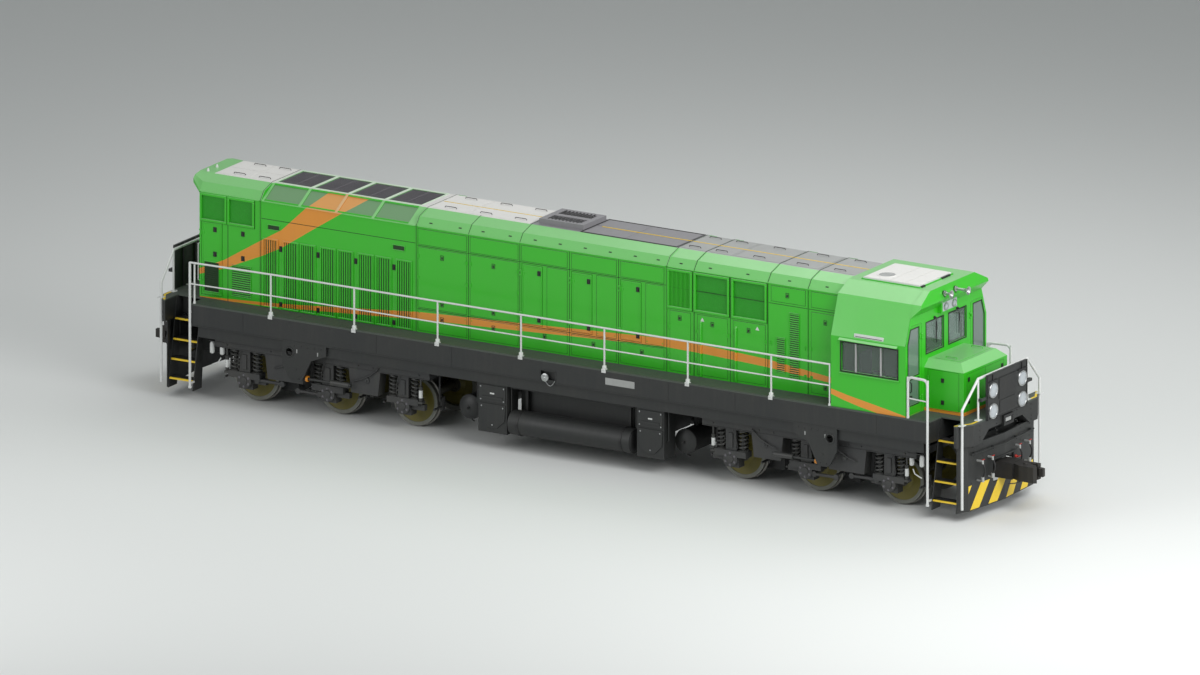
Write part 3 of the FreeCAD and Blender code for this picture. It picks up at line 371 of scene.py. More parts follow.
# The windows in the rolled roof edge get a weaker painted highlight.
slope_glass = body_paint("slope_window_tint", srgb(84, 134, 82), roof=False, top_highlight=0.12)
door_pane = paint("door_pane_glass", srgb(96, 114, 106), 0.1, 0.03, coat=1.0)
lens_glass = paint("lamp_lens_white", srgb(168, 174, 178), 0.12, 0.01, coat=0.8)
lamp_cover = paint("lamp_cover_grey", srgb(168, 174, 176), 0.2, 0.02, coat=0.6)
seat_cloth = cloth("seat_woven_cloth", srgb(42, 47, 58))
screen_dark = paint("screen_dark", srgb(16, 20, 26), 0.2, 0.02)

# Slots of the record and the materials that go in each. piece() looks a material up here where the piece
# names no slot, but the slot is not kept on the piece.
SLOTS = {
    "body_green": (body_green, dark_green, pale_green, plain_green),
    "cab_interior_grey": (interior_grey, screen_dark),
    "cast_steel": (cast_steel,),
    "deck_grey": (deck_grey,),
    "frame_grey": (black_paint, frame_grey, orange_paint, red_paint, rubber, spring_grey, yellow_paint),
    "glass": (door_pane,),
    "handrail_white": (white_paint,),
    "horn_metal": (bright_steel,),
    "lamp_glass": (lamp_cover, lens_glass),
    "roof_white": (panel_grey, roof_mid),
    "running_gear_grey": (bogie_grey,),
    "shutter_grey": (roof_dark, shutter_grey),
}
SLOT_OF = {material: slot for slot, materials in SLOTS.items() for material in materials}


def dress(node, material):
    """Puts a material into every slot of a CAD node."""
    mesh = nodes[node].data
    if not mesh.materials:
        mesh.materials.append(material)
    for i in range(len(mesh.materials)):
        mesh.materials[i] = material


LOOKS = {
    body_green: ["rear_hood", "cooling_hood", "engine_hood", "electrical_hood", "cab_shell", "cab_roof",
                 "nose"],
    frame_grey: ["underframe", "cross_beams", "stairs", "pilots", "lifting_brackets", "lamp_panels",
                 "fuel_tank", "air_reservoirs", "equipment_boxes"],
    deck_grey: ["deck"],
    white_paint: ["side_handrails", "end_handrails", "air_conditioner", "horns"],
    shutter_grey: ["roof_shutters"],
    roof_dark: ["silencer"],
    grille_green: ["hood_grilles"],
    engine_grey: ["engine_block"],
    tinted_glass: ["cab_glass"],
    slope_glass: ["hood_windows"],
    hose_black: ["brake_hoses"],
    interior_grey: ["cab_desk"],
    seat_cloth: ["cab_seats"],
    lens_glass: ["lamps"],
    bogie_grey: [n for n in nodes if n.endswith(("_bogie_frame", "_axle_boxes", "_motors"))],
    spring_grey: [n for n in nodes if n.endswith("_springs")],
    cast_steel: [n for n in nodes if n.endswith(("_coupler", "_knuckle"))],
}
for look, names in LOOKS.items():
    for each in names:
        dress(each, look)
for each in [n for n in nodes if "_door" in n]:
    dress(each, body_green)
for number in range(1, 7):
    node = "wheelset_%d" % number
    low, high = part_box(node)
    middle = (low + high) / 2
    dress(node, wheel_paint(node + "_paint", middle.x, middle.z))


# ---------------------------------------------------------------- shapes
class Parts:
    """Faces of one piece, gathered shape by shape."""

    def __init__(self):
        self.points, self.faces = [], []

    def add(self, points, faces):
        start = len(self.points)
        self.points += [Vector(p) for p in points]
        self.faces += [[start + i for i in face] for face in faces]
        return self

    def prism(self, outline, along):
        count = len(outline)
        far = [Vector(p) + Vector(along) for p in outline]
        walls = [(i, (i + 1) % count, count + (i + 1) % count, count + i) for i in range(count)]
        ends = [list(range(count)), list(range(2 * count - 1, count - 1, -1))]
        return self.add([Vector(p) for p in outline] + far, walls + ends)

    def box(self, x0, x1, y0, y1, z0, z1):
        return self.prism([(x0, y0, z0), (x1, y0, z0), (x1, y1, z0), (x0, y1, z0)], (0, 0, z1 - z0))

    def turned(self, centre, axis, profile, sides=24):
        """Profile of (radius, distance along the axis), turned round the axis."""
        axis = Vector(axis).normalized()
        turn = axis.to_track_quat("Z", "Y")
        rings = []
        for radius, along in profile:
            for i in range(sides):
                angle = 2 * math.pi * i / sides
                spot = Vector((max(radius, 1e-5) * math.cos(angle), max(radius, 1e-5) * math.sin(angle),
                               along))
                rings.append(Vector(centre) + turn @ spot)
        faces = []
        for ring in range(len(profile) - 1):
            for i in range(sides):
                j = (i + 1) % sides
                a, b = ring * sides, (ring + 1) * sides
                faces.append((a + i, a + j, b + j, b + i))
        faces.append(list(range(sides - 1, -1, -1)))
        last = (len(profile) - 1) * sides
        faces.append(list(range(last, last + sides)))
        return self.add(rings, faces)

    def rod(self, start, end, radius, sides=12):
        along = Vector(end) - Vector(start)
        soft = min(radius * 0.15, along.length * 0.2)
        return self.turned(start, along, [(radius - soft, 0), (radius, soft), (radius, along.length - soft),
                                          (radius - soft, along.length)], sides)

    def ring(self, centre, axis, inner, outer, depth, sides=24):
        """Flat ring standing out along the axis, closed like a washer."""
        soft = (outer - inner) * 0.2
        return self.loop(centre, axis, [(inner, 0), (outer, 0), (outer, depth - soft), (outer - soft, depth),
                                        (inner + soft, depth), (inner, depth - soft)], sides)

    def loop(self, centre, axis, section, sides=24):
        """Closed section of (radius, along) turned round the axis."""
        turn = Vector(axis).normalized().to_track_quat("Z", "Y")
        count = len(section)
        points, faces = [], []
        for i in range(sides):
            angle = 2 * math.pi * i / sides
            for radius, along in section:
                points.append(Vector(centre) + turn @ Vector((radius * math.cos(angle),
                                                              radius * math.sin(angle), along)))
        for i in range(sides):
            a, b = i * count, ((i + 1) % sides) * count
            faces += [(a + k, a + (k + 1) % count, b + (k + 1) % count, b + k) for k in range(count)]
        return self.add(points, faces)

    def tube(self, path, radius, sides=8):
        """Round tube along points, with closed ends."""
        path = [Vector(p) for p in path]
        points, faces = [], []
        side = None
        for i, spot in enumerate(path):
            ahead = path[min(i + 1, len(path) - 1)] - path[max(i - 1, 0)]
            ahead.normalize()
            if side is None:
                side = ahead.orthogonal().normalized()
            side = (side - ahead * side.dot(ahead)).normalized()
            up = ahead.cross(side)
            for k in range(sides):
                angle = 2 * math.pi * k / sides
                points.append(spot + (side * math.cos(angle) + up * math.sin(angle)) * radius)
        for i in range(len(path) - 1):
            for k in range(sides):
                j = (k + 1) % sides
                faces.append((i * sides + k, i * sides + j, (i + 1) * sides + j, (i + 1) * sides + k))
        faces.append(list(range(sides)))
        faces.append([(len(path) - 1) * sides + k for k in range(sides)])
        return self.add(points, faces)

    def moved(self, matrix):
        self.points = [matrix @ p for p in self.points]
        return self

    def copied(self, matrix):
        """Adds a copy of everything so far, moved by the matrix."""
        start = len(self.points)
        self.points += [matrix @ p for p in self.points]
        self.faces += [[start + i for i in face] for face in self.faces]
        return self

    def both_sides(self):
        return self.copied(Matrix.Scale(-1, 4, LEFT))

    def both_ends(self):
        return self.copied(Matrix.Scale(-1, 4, FORWARD))


def add_object(name, data):
    thing = bpy.data.objects.new(name, data)
    bpy.context.scene.collection.objects.link(thing)
    return thing


def piece(name, parts, material, body="root", bevel=0.0, slot=None):
    """Turns gathered faces into an object that rides on a body."""
    mesh = bpy.data.meshes.new(name)
    mesh.from_pydata([tuple(p) for p in parts.points], [], parts.faces)
    shape = bmesh.new()
    shape.from_mesh(mesh)
    bmesh.ops.recalc_face_normals(shape, faces=shape.faces)
    shape.to_mesh(mesh)
    shape.free()
    mesh.materials.append(material)
    mesh.shade_smooth()
    mesh.set_sharp_from_angle(angle=math.radians(SHARP_ANGLE))
    thing = add_object(name, mesh)
    if bevel:
        soften = thing.modifiers.new("soft_edges", "BEVEL")
        soften.width = bevel
        soften.segments = 2
        soften.limit_method = "ANGLE"
        soften.angle_limit = math.radians(BEVEL_ANGLE)
    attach(thing, body)
    slot or SLOT_OF[material]
    return thing


def bolts(parts, spots, axis, radius=0.014, height=0.012):
    """Six-sided bolt heads with a washer."""
    for spot in spots:
        parts.turned(spot, axis, [(radius * 1.4, 0), (radius * 1.4, height * 0.25), (radius, height * 0.25),
                                  (radius, height * 0.9), (radius * 0.8, height)], 6)


def plate(parts, at, a0, a1, u0, u1, base, rise):
    """Flat plate on a face: it starts at base and is as thick as rise."""
    corners = [at(a0, u0, base), at(a1, u0, base), at(a1, u1, base), at(a0, u1, base)]
    parts.prism(corners, Vector(at(a0, u0, rise)) - Vector(at(a0, u0, 0)))


def window_trim(parts, at, low, high, deep, wide):
    """Frame of four bars round an opening; at turns (across, up, out) into a point."""
    (a0, u0), (a1, u1) = low, high
    for a, b, c, d in ((a0 - wide, a1 + wide, u0 - wide, u0), (a0 - wide, a1 + wide, u1, u1 + wide),
                       (a0 - wide, a0, u0, u1), (a1, a1 + wide, u0, u1)):
        plate(parts, at, a, b, c, d, 0, deep)


def flat_rim(parts, x0, x1, y0, y1, wide_x, wide_y, z0, z1):
    """Four level bars round a rectangle."""
    for a, b, c, d in ((x0 - wide_x, x1 + wide_x, y0 - wide_y, y0),
                       (x0 - wide_x, x1 + wide_x, y1, y1 + wide_y),
                       (x0 - wide_x, x0, y0, y1), (x1, x1 + wide_x, y0, y1)):
        parts.box(a, b, c, d, z0, z1)


def side_face(y):
    """Turns (across, up, out) into a point on an upright face that looks to the right."""
    return lambda across, up, out: (across, y - out, up)


def end_face(x, way=1):
    """The same for a face that looks forward, way 1, or back, way -1."""
    return lambda across, up, out: (x + way * out, across, up)


on_hood = side_face(-SIDE)
on_cab_side = side_face(-CAB_SIDE)
on_cab_front = end_face(CAB_FRONT)
on_cab_rear = end_face(CAB_REAR, -1)


def hood_strip(parts, x0, x1, proud):
    """Cover strip round the right half of the hood section: side, rolled edge and roof."""
    parts.box(x0, x1, -SIDE - proud, -SIDE + 0.002, DECK, SHOULDER)
    outline = [(-SIDE + 0.002, SHOULDER - 0.002), (-SIDE - proud, SHOULDER),
               (-HAUNCH[0] - proud * 0.6, HAUNCH[1] + proud * 0.8), (-ROOF_HALF, ROOF + proud),
               (-ROOF_HALF, ROOF - 0.002)]
    parts.prism([(x0, y, z) for y, z in outline], (x1 - x0, 0, 0))
    parts.box(x0, x1, -ROOF_HALF, 0, ROOF - 0.002, ROOF + proud)


# ---------------------------------------------------------------- hood sides
# X of the joins between hood sections, of the small joins in the electrical section, and of the engine bays.
MAIN_JOINS = (COOLING_START, ENGINE_START, ELECTRIC_START)
SMALL_JOINS = (2.885, 4.655, 5.62)
BAYS = (-3.78, -2.53, -1.3, -0.11, 1.07, 2.23)
BAY_SEAMS = (2.583, 3.918)
SEAM_HALF = 0.0065
SEAM_PROUD = 0.0015

LOUVRE_DOORS = ((-7.47, -6.59), (-6.57, -5.7), (-5.67, -4.79), (-4.76, -3.87))
LOUVRE_HEIGHTS = (2.13, 3.53)
GRILLES = ((-8.92, -8.37, 3.76, 4.255), (-8.26, -7.71, 3.76, 4.255), (2.29, 2.79, 3.5, 4.245),
           (2.93, 3.68, 3.5, 4.245), (3.83, 4.58, 3.5, 4.245))
CABINET_LATCHES = (3.558, 3.038)
ENGINE_LATCHES = (3.728, 2.743)
LOW_LATCH = 2.418


def side_seam(lines, x0, x1, z0, z1):
    lines.box(x0, x1, -SIDE - SEAM_PROUD, -SIDE, z0, z1)


def hood_seams():
    strips, lines, gutter = Parts(), Parts(), Parts()
    for joins, half, proud in ((MAIN_JOINS, 0.022, 0.008), (SMALL_JOINS, 0.014, 0.006)):
        for x in joins:
            hood_strip(strips, x - half, x + half, proud)
    for x in MAIN_JOINS + SMALL_JOINS:
        hood_strip(lines, x - 0.006, x + 0.006, 0.01)
    for x in BAYS[1:3]:
        hood_strip(lines, x - SEAM_HALF, x + SEAM_HALF, SEAM_PROUD)
    for x in BAYS[3:-1] + (3.75,):
        side_seam(lines, x - SEAM_HALF, x + SEAM_HALF, DECK, SHOULDER)
    side_seam(lines, -8.307, -8.293, DECK, SHOULDER)
    for z in BAY_SEAMS:
        side_seam(lines, ENGINE_START, ELECTRIC_START, z - SEAM_HALF, z + SEAM_HALF)
    side_seam(lines, COOLING_START, ENGINE_START, 3.952, 3.964)
    side_seam(lines, ELECTRIC_START, CAB_REAR, 3.892, 3.904)
    ends = (HOOD_REAR,) + MAIN_JOINS + (CAB_REAR,)
    section = [(0, -0.03), (-0.014, -0.026), (-0.014, -0.006), (0, -0.002)]
    for x0, x1 in zip(ends, ends[1:]):
        gutter.prism([(x0 + 0.03, -SIDE + y, SHOULDER + z) for y, z in section], (x1 - x0 - 0.06, 0, 0))
    piece("hood_section_strips", strips.both_sides(), body_green, bevel=0.002)
    piece("hood_seam_lines", lines.both_sides(), dark_green)
    piece("hood_gutters", gutter.both_sides(), body_green, bevel=0.002)


def latch(parts, at, across, up, wide=0.06, high=0.085):
    """Recessed slam latch: rim, dished plate and a handle bar."""
    a, b = wide / 2, high / 2
    window_trim(parts, at, (across - a, up - b), (across + a, up + b), 0.01, 0.01)
    plate(parts, at, across - a, across + a, up - b, up + b, 0, 0.004)
    plate(parts, at, across - a * 0.5, across + a * 0.5, up - b * 0.7, up + b * 0.5, 0.003, 0.014)


def hinge(parts, at, across, up, length=0.08):
    """Strap hinge with its barrel upright."""
    low, high = up - length / 2, up + length / 2
    plate(parts, at, across - 0.035, across + 0.035, low, high, 0, 0.006)
    parts.rod(at(across, low, 0.01), at(across, high, 0.01), 0.01, 10)


def hood_latches():
    """Latches and hinges of everything on the hood side that stays shut."""
    parts, hinges = Parts(), Parts()
    spots = [(x, z) for x in (-3.16, -1.93) for z in ENGINE_LATCHES + (LOW_LATCH,)]
    spots += [(x, LOW_LATCH) for x in (-0.7, 0.47, 1.63)]
    spots += [(2.54, 3.268), (3.32, 3.238), (4.19, 3.238), (5.12, 4.108), (6.03, 3.658), (6.03, 2.278)]
    spots += [(-7.94, z) for z in CABINET_LATCHES]
    for x, z in spots:
        latch(parts, on_hood, x, z)
    for x0, x1 in LOUVRE_DOORS:
        for z, high in ((3.37, 0.1), (2.2, 0.08)):
            latch(parts, on_hood, (x0 + x1) / 2, z, 0.05, high)
    for x in (-3.72, -2.59, -2.47, -1.36):
        for z in (2.8, 3.25, 3.7):
            hinge(hinges, on_hood, x, z)
    for x in (2.3, 2.94, 3.69, 3.81, 4.58, 4.72, 5.55, 5.7, 6.4):
        for z in (2.45, 3.05):
            hinge(hinges, on_hood, x, z)
    piece("hood_latches", parts.both_sides(), black_paint, bevel=0.0015)
    piece("hood_cover_hinges", hinges.both_sides(), plain_green)


def turned_over(at):
    """The same face with across and up exchanged, for slats that stand upright."""
    return lambda across, up, out: at(up, across, out)


def slats(parts, at, a0, a1, u0, u1, pitch=0.045, proud=0.012):
    """Row of ribs with bevelled edges; what is behind shows in the gaps."""
    count = max(int(round((u1 - u0) / pitch)), 1)
    step = (u1 - u0) / count
    for i in range(count):
        low = u0 + i * step
        outline = [at(a0, low + step * 0.8, 0), at(a0, low + step * 0.22, 0),
                   at(a0, low + step * 0.32, proud), at(a0, low + step * 0.7, proud)]
        parts.prism(outline, Vector(at(a1, 0, 0)) - Vector(at(a0, 0, 0)))


def louvres():
    frames, blades, gaps = Parts(), Parts(), Parts()
    low, high = LOUVRE_HEIGHTS
    for x0, x1 in LOUVRE_DOORS:
        middle = (x0 + x1) / 2
        for a, b in ((x0, middle - 0.045), (middle + 0.045, x1)):
            window_trim(frames, on_hood, (a + 0.035, low), (b - 0.035, high), 0.024, 0.03)
            slats(blades, turned_over(on_hood), low, high, a + 0.035, b - 0.035, 0.052)
            gaps.box(a + 0.035, b - 0.035, -SIDE - 0.001, -SIDE, low, high)
    for a, b, u0, u1 in ((4.87, 5.06, 2.468, 3.188), (5.18, 5.4, 2.378, 3.748),
                         (-8.2, -7.75, 2.228, 2.878)):
        window_trim(frames, on_hood, (a, u0), (b, u1), 0.018, 0.016)
        slats(blades, on_hood, a, b, u0, u1)
        gaps.box(a, b, -SIDE - 0.003, -SIDE, u0, u1)
    for x in (-7.2, -4.2):
        window_trim(frames, on_hood, (x - 0.135, 3.755), (x + 0.135, 3.845), 0.016, 0.014)
        gaps.box(x - 0.135, x + 0.135, -SIDE - 0.003, -SIDE, 3.755, 3.845)
    piece("louvre_frames", frames.both_sides(), body_green, bevel=0.003)
    piece("louvre_blades", blades.both_sides(), body_green)
    piece("louvre_shadow_gaps", gaps.both_sides(), dark_green)


def grille_frames():
    frames, ribs, marks, outlines = Parts(), Parts(), Parts(), Parts()
    rim = 0.048
    for x0, x1, z0, z1 in GRILLES:
        window_trim(frames, on_hood, (x0, z0), (x1, z1), 0.028, rim)
        window_trim(outlines, on_hood, (x0 - rim, z0 - rim), (x1 + rim, z1 + rim), 0.0065, 0.01)
    x0, x1, z0, z1 = GRILLES[2]
    slats(ribs, turned_over(on_hood), z0, z1, x0, x1, 0.032, 0.01)
    for x in (3.05, 3.89):
        frames.tube([(x, -SIDE - 0.015, DECK + 0.02), (x, -SIDE - 0.015, 3.24), (x, -SIDE + 0.01, 3.27)],
                    0.024, 10)
    for x, z in ((3.08, 3.308), (4.4, 3.308)):
        marks.prism([(x - 0.045, -SIDE - 0.004, z - 0.035), (x + 0.045, -SIDE - 0.004, z - 0.035),
                     (x, -SIDE - 0.004, z + 0.045)], (0, -0.004, 0))
    piece("grille_frames", frames.both_sides(), body_green, bevel=0.006)
    piece("grille_outlines", outlines.both_sides(), dark_green)
    piece("grille_ribs", ribs.both_sides(), plain_green, slot="grille_green")
    piece("hood_side_marks", marks.both_sides(), white_paint)


def engine_covers():
    """Lift-off covers of the engine and electrical bays: thin plates with an edge and corner screws."""
    plates, outlines, screws = Parts(), Parts(), Parts()
    low_row, middle_row, high_row = (DECK + 0.04, 2.55), (2.615, 3.885), (3.95, 4.27)
    spots = [(x0, x1, row) for x0, x1 in ((-3.75, -2.56), (-2.5, -1.33))
             for row in (low_row, middle_row, high_row)]
    spots += [(x0, x1, middle_row) for x0, x1 in ((-0.66, -0.15), (0.53, 1.03), (1.71, 2.17))]
    spots += [(x0, x1, row) for x0, x1 in ((-1.27, -0.15), (-0.07, 1.03), (1.11, 2.17))
              for row in (low_row, high_row)]
    spots += [(x0, x1, (DECK + 0.05, 3.4)) for x0, x1 in ((2.29, 2.81), (2.95, 3.7), (3.81, 4.6))]
    spots += [(5.68, 6.42, (DECK + 0.05, 3.84)), (4.72, 5.56, high_row), (5.68, 6.42, high_row)]
    for x0, x1, (z0, z1) in spots:
        a, b = x0 + 0.015, x1 - 0.015
        plates.box(a, b, -SIDE - 0.005, -SIDE, z0, z1)
        window_trim(outlines, on_hood, (a, z0), (b, z1), 0.0015, 0.008)
        bolts(screws, [(x, -SIDE - 0.005, z) for x in (a + 0.03, b - 0.03) for z in (z0 + 0.05, z1 - 0.05)],
              OUT, 0.009, 0.007)
    piece("hood_side_covers", plates.both_sides(), body_green, bevel=0.003)
    piece("hood_cover_outlines", outlines.both_sides(), dark_green)
    piece("hood_cover_screws", screws.both_sides(), plain_green)


def door_trim(body, x0, x1, z0, z1, side):
    """Raised edge and latches of a hinged leaf, and the louvre of a cabinet door, with painted shade behind
    its slats. All ride with the door.
    """
    flip = Matrix.Scale(1 if side == "right" else -1, 4, LEFT)
    parts, lock, gaps = Parts(), Parts(), Parts()
    cabinet = body.startswith("cabinet")
    inset, heights = (0.17, CABINET_LATCHES) if cabinet else (0.076, ENGINE_LATCHES)
    window_trim(parts, on_hood, (x0 + 0.035, z0 + 0.035), (x1 - 0.035, z1 - 0.035), 0.006, 0.022)
    for z in heights:
        latch(lock, on_hood, x1 - inset, z)
    piece(body + "_locks", lock.moved(flip), black_paint, body, 0.0015)
    if cabinet:
        x0, x1, z0, z1 = x0 + 0.07, x1 - 0.07, z0 + 0.08, z0 + 0.7
        window_trim(parts, on_hood, (x0, z0), (x1, z1), 0.018, 0.016)
        # Slats and the sheet behind them are one dark green piece; the sheet is painted shade inside the
        # louvre.
        slats(gaps, on_hood, x0, x1, z0, z1)
        gaps.box(x0, x1, -SIDE - 0.001, -SIDE, z0, z1)
        piece(body + "_gaps", gaps.moved(flip), dark_green, body)
    piece(body + "_trim", parts.moved(flip), body_green, body, 0.002)


def hood_doors():
    for side in ("right", "left"):
        for number, bay in enumerate(BAYS[2:5], 1):
            door_trim("engine_door_%s_%d_body" % (side, number), bay + 0.052, bay + 0.54, 2.62, 3.88, side)
        door_trim("cabinet_door_%s_body" % side, -8.928, -8.44, 2.16, 3.7, side)


# ---------------------------------------------------------------- roof
def roof_fittings():
    strips, front, handles, line = Parts(), Parts(), Parts(), Parts()
    top = ROOF + 0.006
    for x in (-8.12, -2.87, 3.52, 4.655, 5.56):
        edge_in = ROOF_HALF - 0.01
        (front if x > 0 else strips).box(x - 0.012, x + 0.012, -edge_in, edge_in, ROOF, top)
    for x0, x1 in ((-8.86, -8.16), (-8.08, -7.56), (-3.74, -2.91), (-2.83, -1.36), (2.26, 2.86), (2.92, 3.48),
                   (3.56, 4.62), (4.69, 5.53), (5.6, 6.46)):
        for y0, y1 in ((-0.53, -0.02), (0.02, 0.53)):
            (front if x0 > 0 else strips).box(x0, x1, y0, y1, ROOF, top)
    arch = ((-0.14, 0), (-0.13, 0.03), (-0.12, 0.035), (0.12, 0.035), (0.13, 0.03), (0.14, 0))
    for x in (-8.4, -7.8, -3.34, -2.49, -1.66, 2.52, 3.16, 4.06, 5.1, 6.0):
        for y in (-0.4, 0.4):
            handles.tube([(x + along, y, ROOF + up) for along, up in arch], 0.007)
    for x0, x1, half in ((ENGINE_START + 0.04, -1.36, 0.006), (0.05, 6.45, 0.014)):
        line.box(x0, x1, -half, half, ROOF, ROOF + 0.009)
    piece("roof_panels", strips, panel_grey, bevel=0.003)
    piece("electrical_roof_panels", front, roof_mid, bevel=0.003)
    piece("roof_handles", handles, black_paint)
    piece("roof_walk_line", line, yellow_paint, bevel=0.002, slot="handrail_white")
    exhaust_roof()


def exhaust_roof():
    """Dark plates and rim round the silencer, and the slots in its top."""
    plates, slots, rims = Parts(), Parts(), Parts()
    for x0, x1 in ((-0.08, 0.92), (0.96, 2.14)):
        for y0, y1 in ((-0.52, -0.03), (0.03, 0.52)):
            plates.box(x0, x1, y0, y1, ROOF, ROOF + 0.006)
    low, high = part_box("silencer")
    for y in (-0.24, 0.24):
        for i in range(9):
            x = low.x + 0.15 + i * 0.085
            slots.box(x, x + 0.035, y - 0.14, y + 0.14, high.z - 0.004, high.z)
    for y in (-0.555, 0.555):
        rims.box(-0.12, 2.18, y - 0.012, y + 0.012, ROOF, ROOF + 0.008)
    for x in (-0.12, 2.18):
        rims.box(x - 0.01, x + 0.01, -0.567, 0.567, ROOF, ROOF + 0.008)
    piece("exhaust_roof_rims", rims, black_paint, slot="shutter_grey")
    piece("exhaust_roof_plates", plates, roof_dark, bevel=0.003)
    piece("silencer_slots", slots, black_paint, slot="shutter_grey")


SHUTTERS = [(-7.44 + i * 0.88, -7.44 + (i + 1) * 0.88 - 0.07) for i in range(4)]
SHUTTER_BLADES = 22


def shutters():
    blades, frames = Parts(), Parts()
    for x0, x1 in SHUTTERS:
        for i in range(SHUTTER_BLADES):
            x = x0 + 0.02 + (x1 - x0 - 0.04) * i / SHUTTER_BLADES
            section = ((0, -0.015), (0.03, -0.003), (0.034, -0.006), (0.006, -0.015))
            blades.prism([(x + along, -0.495, ROOF + up) for along, up in section], (0, 0.99, 0))
        flat_rim(frames, x0, x1, -0.5, 0.5, 0.034, 0.058, ROOF, ROOF + 0.01)
        middle = (x0 + x1) / 2
        blades.box(middle - 0.012, middle + 0.012, -0.49, 0.49, ROOF - 0.014, ROOF - 0.001)
    piece("shutter_blades", blades, shutter_grey)
    piece("shutter_frames", frames, pale_green, bevel=0.002)
    slope_fittings()


def slope_fittings():
    """Bars above and below the windows in the rolled roof edge, and the small clips along it."""
    bars, dashes = Parts(), Parts()
    slope = Vector((0, SIDE - ROOF_HALF, ROOF - SHOULDER))
    out = Vector((0, -0.512, 0.859)) * 0.01
    half = slope.normalized() * 0.016
    foot = Vector((0, -SIDE, SHOULDER))
    rise = Vector((0, SIDE - HAUNCH[0], HAUNCH[1] - SHOULDER))
    rise_out = Vector((0, -rise.z, rise.y)).normalized()
    for x0, x1 in SHUTTERS:
        for share in (0.06, 0.94):
            spot = foot + slope * share + Vector((x0, 0, 0))
            bars.prism([spot - half, spot + half, spot + half + out, spot - half + out], (x1 - x0, 0, 0))
    for x in (-3.5, -2.8, -2.25, -1.6, -1.0, -0.4, 0.2, 0.8, 1.4, 1.95, 2.5, 3.2, 4.1, 5.1, 6.0):
        spot = foot + rise * 0.4 + Vector((x, 0, 0))
        far = spot + Vector((0.07, 0, 0))
        dashes.prism([spot, far, far + rise * 0.1, spot + rise * 0.1], rise_out * 0.006)
    piece("slope_window_bars", bars.both_sides(), plain_green, bevel=0.002)
    piece("slope_clips", dashes.both_sides(), black_paint)


# ---------------------------------------------------------------- cab
SIDE_WINDOW = (6.75, 8.09, 2.89, 3.49)
FRONT_WINDOW = (0.108, 0.773, 3.28, 3.915)
# Panes of the right front door, seen from the front: Y and Z round each outline.
LEAF_PANES = (((-1.07, 2.92), (-1.48, 2.92), (-1.48, 3.6), (-1.379, 3.9), (-1.07, 3.9)),
              ((-1.07, 2.31), (-1.43, 2.31), (-1.43, 2.84), (-1.07, 2.84)))
REAR_PANE = ((1.11, 3.28), (1.37, 3.28), (1.37, 3.86), (1.11, 3.86))
PANE_DEPTH = 0.017
PANE_RUBBER_WIDE, PANE_RUBBER_DEEP = 0.022, 0.008


def pane_trim(parts, panes, at, outline):
    """Rubber bars round an outline of any shape, and a sheet of glass set back in it."""
    centre = Vector((sum(p[0] for p in outline), sum(p[1] for p in outline))) / len(outline)
    wider = []
    for spot in outline:
        away = Vector(spot) - centre
        wider.append(Vector(spot) + Vector([math.copysign(PANE_RUBBER_WIDE, part) for part in away]))
    for i, spot in enumerate(outline):
        j = (i + 1) % len(outline)
        bar = [at(*spot, 0), at(*outline[j], 0), at(*wider[j], 0), at(*wider[i], 0)]
        parts.prism(bar, Vector(at(0, 0, PANE_RUBBER_DEEP)) - Vector(at(0, 0, 0)))
    sheet = [at(a, u, -PANE_DEPTH) for a, u in outline]
    panes.prism(sheet, Vector(at(0, 0, 0.009)) - Vector(at(0, 0, 0)))


def cab_trim():
    """Window rubbers and posts, rain strips, the side bar with a thin dark line along its lower part, and the
    roof edge beads.
    """
    rubbers, bars, marks, bar_line, posts, rear, eave = [Parts() for _ in range(7)]
    side = -CAB_SIDE
    x0, x1, z0, z1 = SIDE_WINDOW
    window_trim(rubbers, on_cab_side, (x0, z0), (x1, z1), 0.01, 0.03)
    for x in (7.09, 7.69):
        posts.box(x - 0.016, x + 0.016, side - 0.006, side + 0.035, z0, z1)
    bars.box(x0 - 0.05, x1 + 0.05, side - 0.025, side, z0 - 0.07, z0 - 0.045)
    strip = ((0, 0.09), (-0.06, 0.055), (-0.06, 0.045), (0, 0.06))
    bars.prism([(x0 - 0.05, side + y, z1 + z) for y, z in strip], (x1 - x0 + 0.06, 0, 0))
    marks.box(7.05, 7.75, side + 0.005, side + 0.055, 3.63, 3.705)
    # Thin dark line along the lower part of the side bar.
    bar_line.box(7.08, 7.72, side + 0.003, side + 0.006, 3.645, 3.657)
    y0, y1, z0, z1 = FRONT_WINDOW
    window_trim(rubbers, on_cab_front, (-y1, z0), (-y0, z1), 0.008, 0.026)
    piece("cab_window_rubbers", rubbers.both_sides(), rubber, bevel=0.004)
    piece("cab_rain_strips", bars.both_sides(), body_green, bevel=0.003)
    piece("cab_window_posts", posts.both_sides(), roof_mid, bevel=0.003)
    piece("cab_side_bar_line", bar_line.both_sides(), black_paint)
    piece("cab_side_bar", marks.both_sides(), white_paint, bevel=0.003)
    window_trim(rear, on_cab_rear, (-1.39, 3.28), (-1.1, 3.86), 0.008, 0.026)
    piece("cab_rear_window_rubber", rear, rubber, bevel=0.004)
    x = CAB_FRONT - 0.012
    run = [(-CAB_SIDE, 3.6), (-1.3, 4.43), (-0.87, CROWN)]
    for (ya, za), (yb, zb) in zip(run, run[1:]):
        eave.prism([(x, ya, za), (x, yb, zb), (x, yb + 0.01, zb + 0.004), (x, ya + 0.01, za + 0.004)],
                   (0.01, 0, 0))
    eave.box(CAB_REAR + 0.02, CAB_FRONT - 0.02, -0.876, -0.862, CROWN - 0.01, CROWN - 0.001)
    piece("cab_eave_beads", eave.both_sides(), body_green)


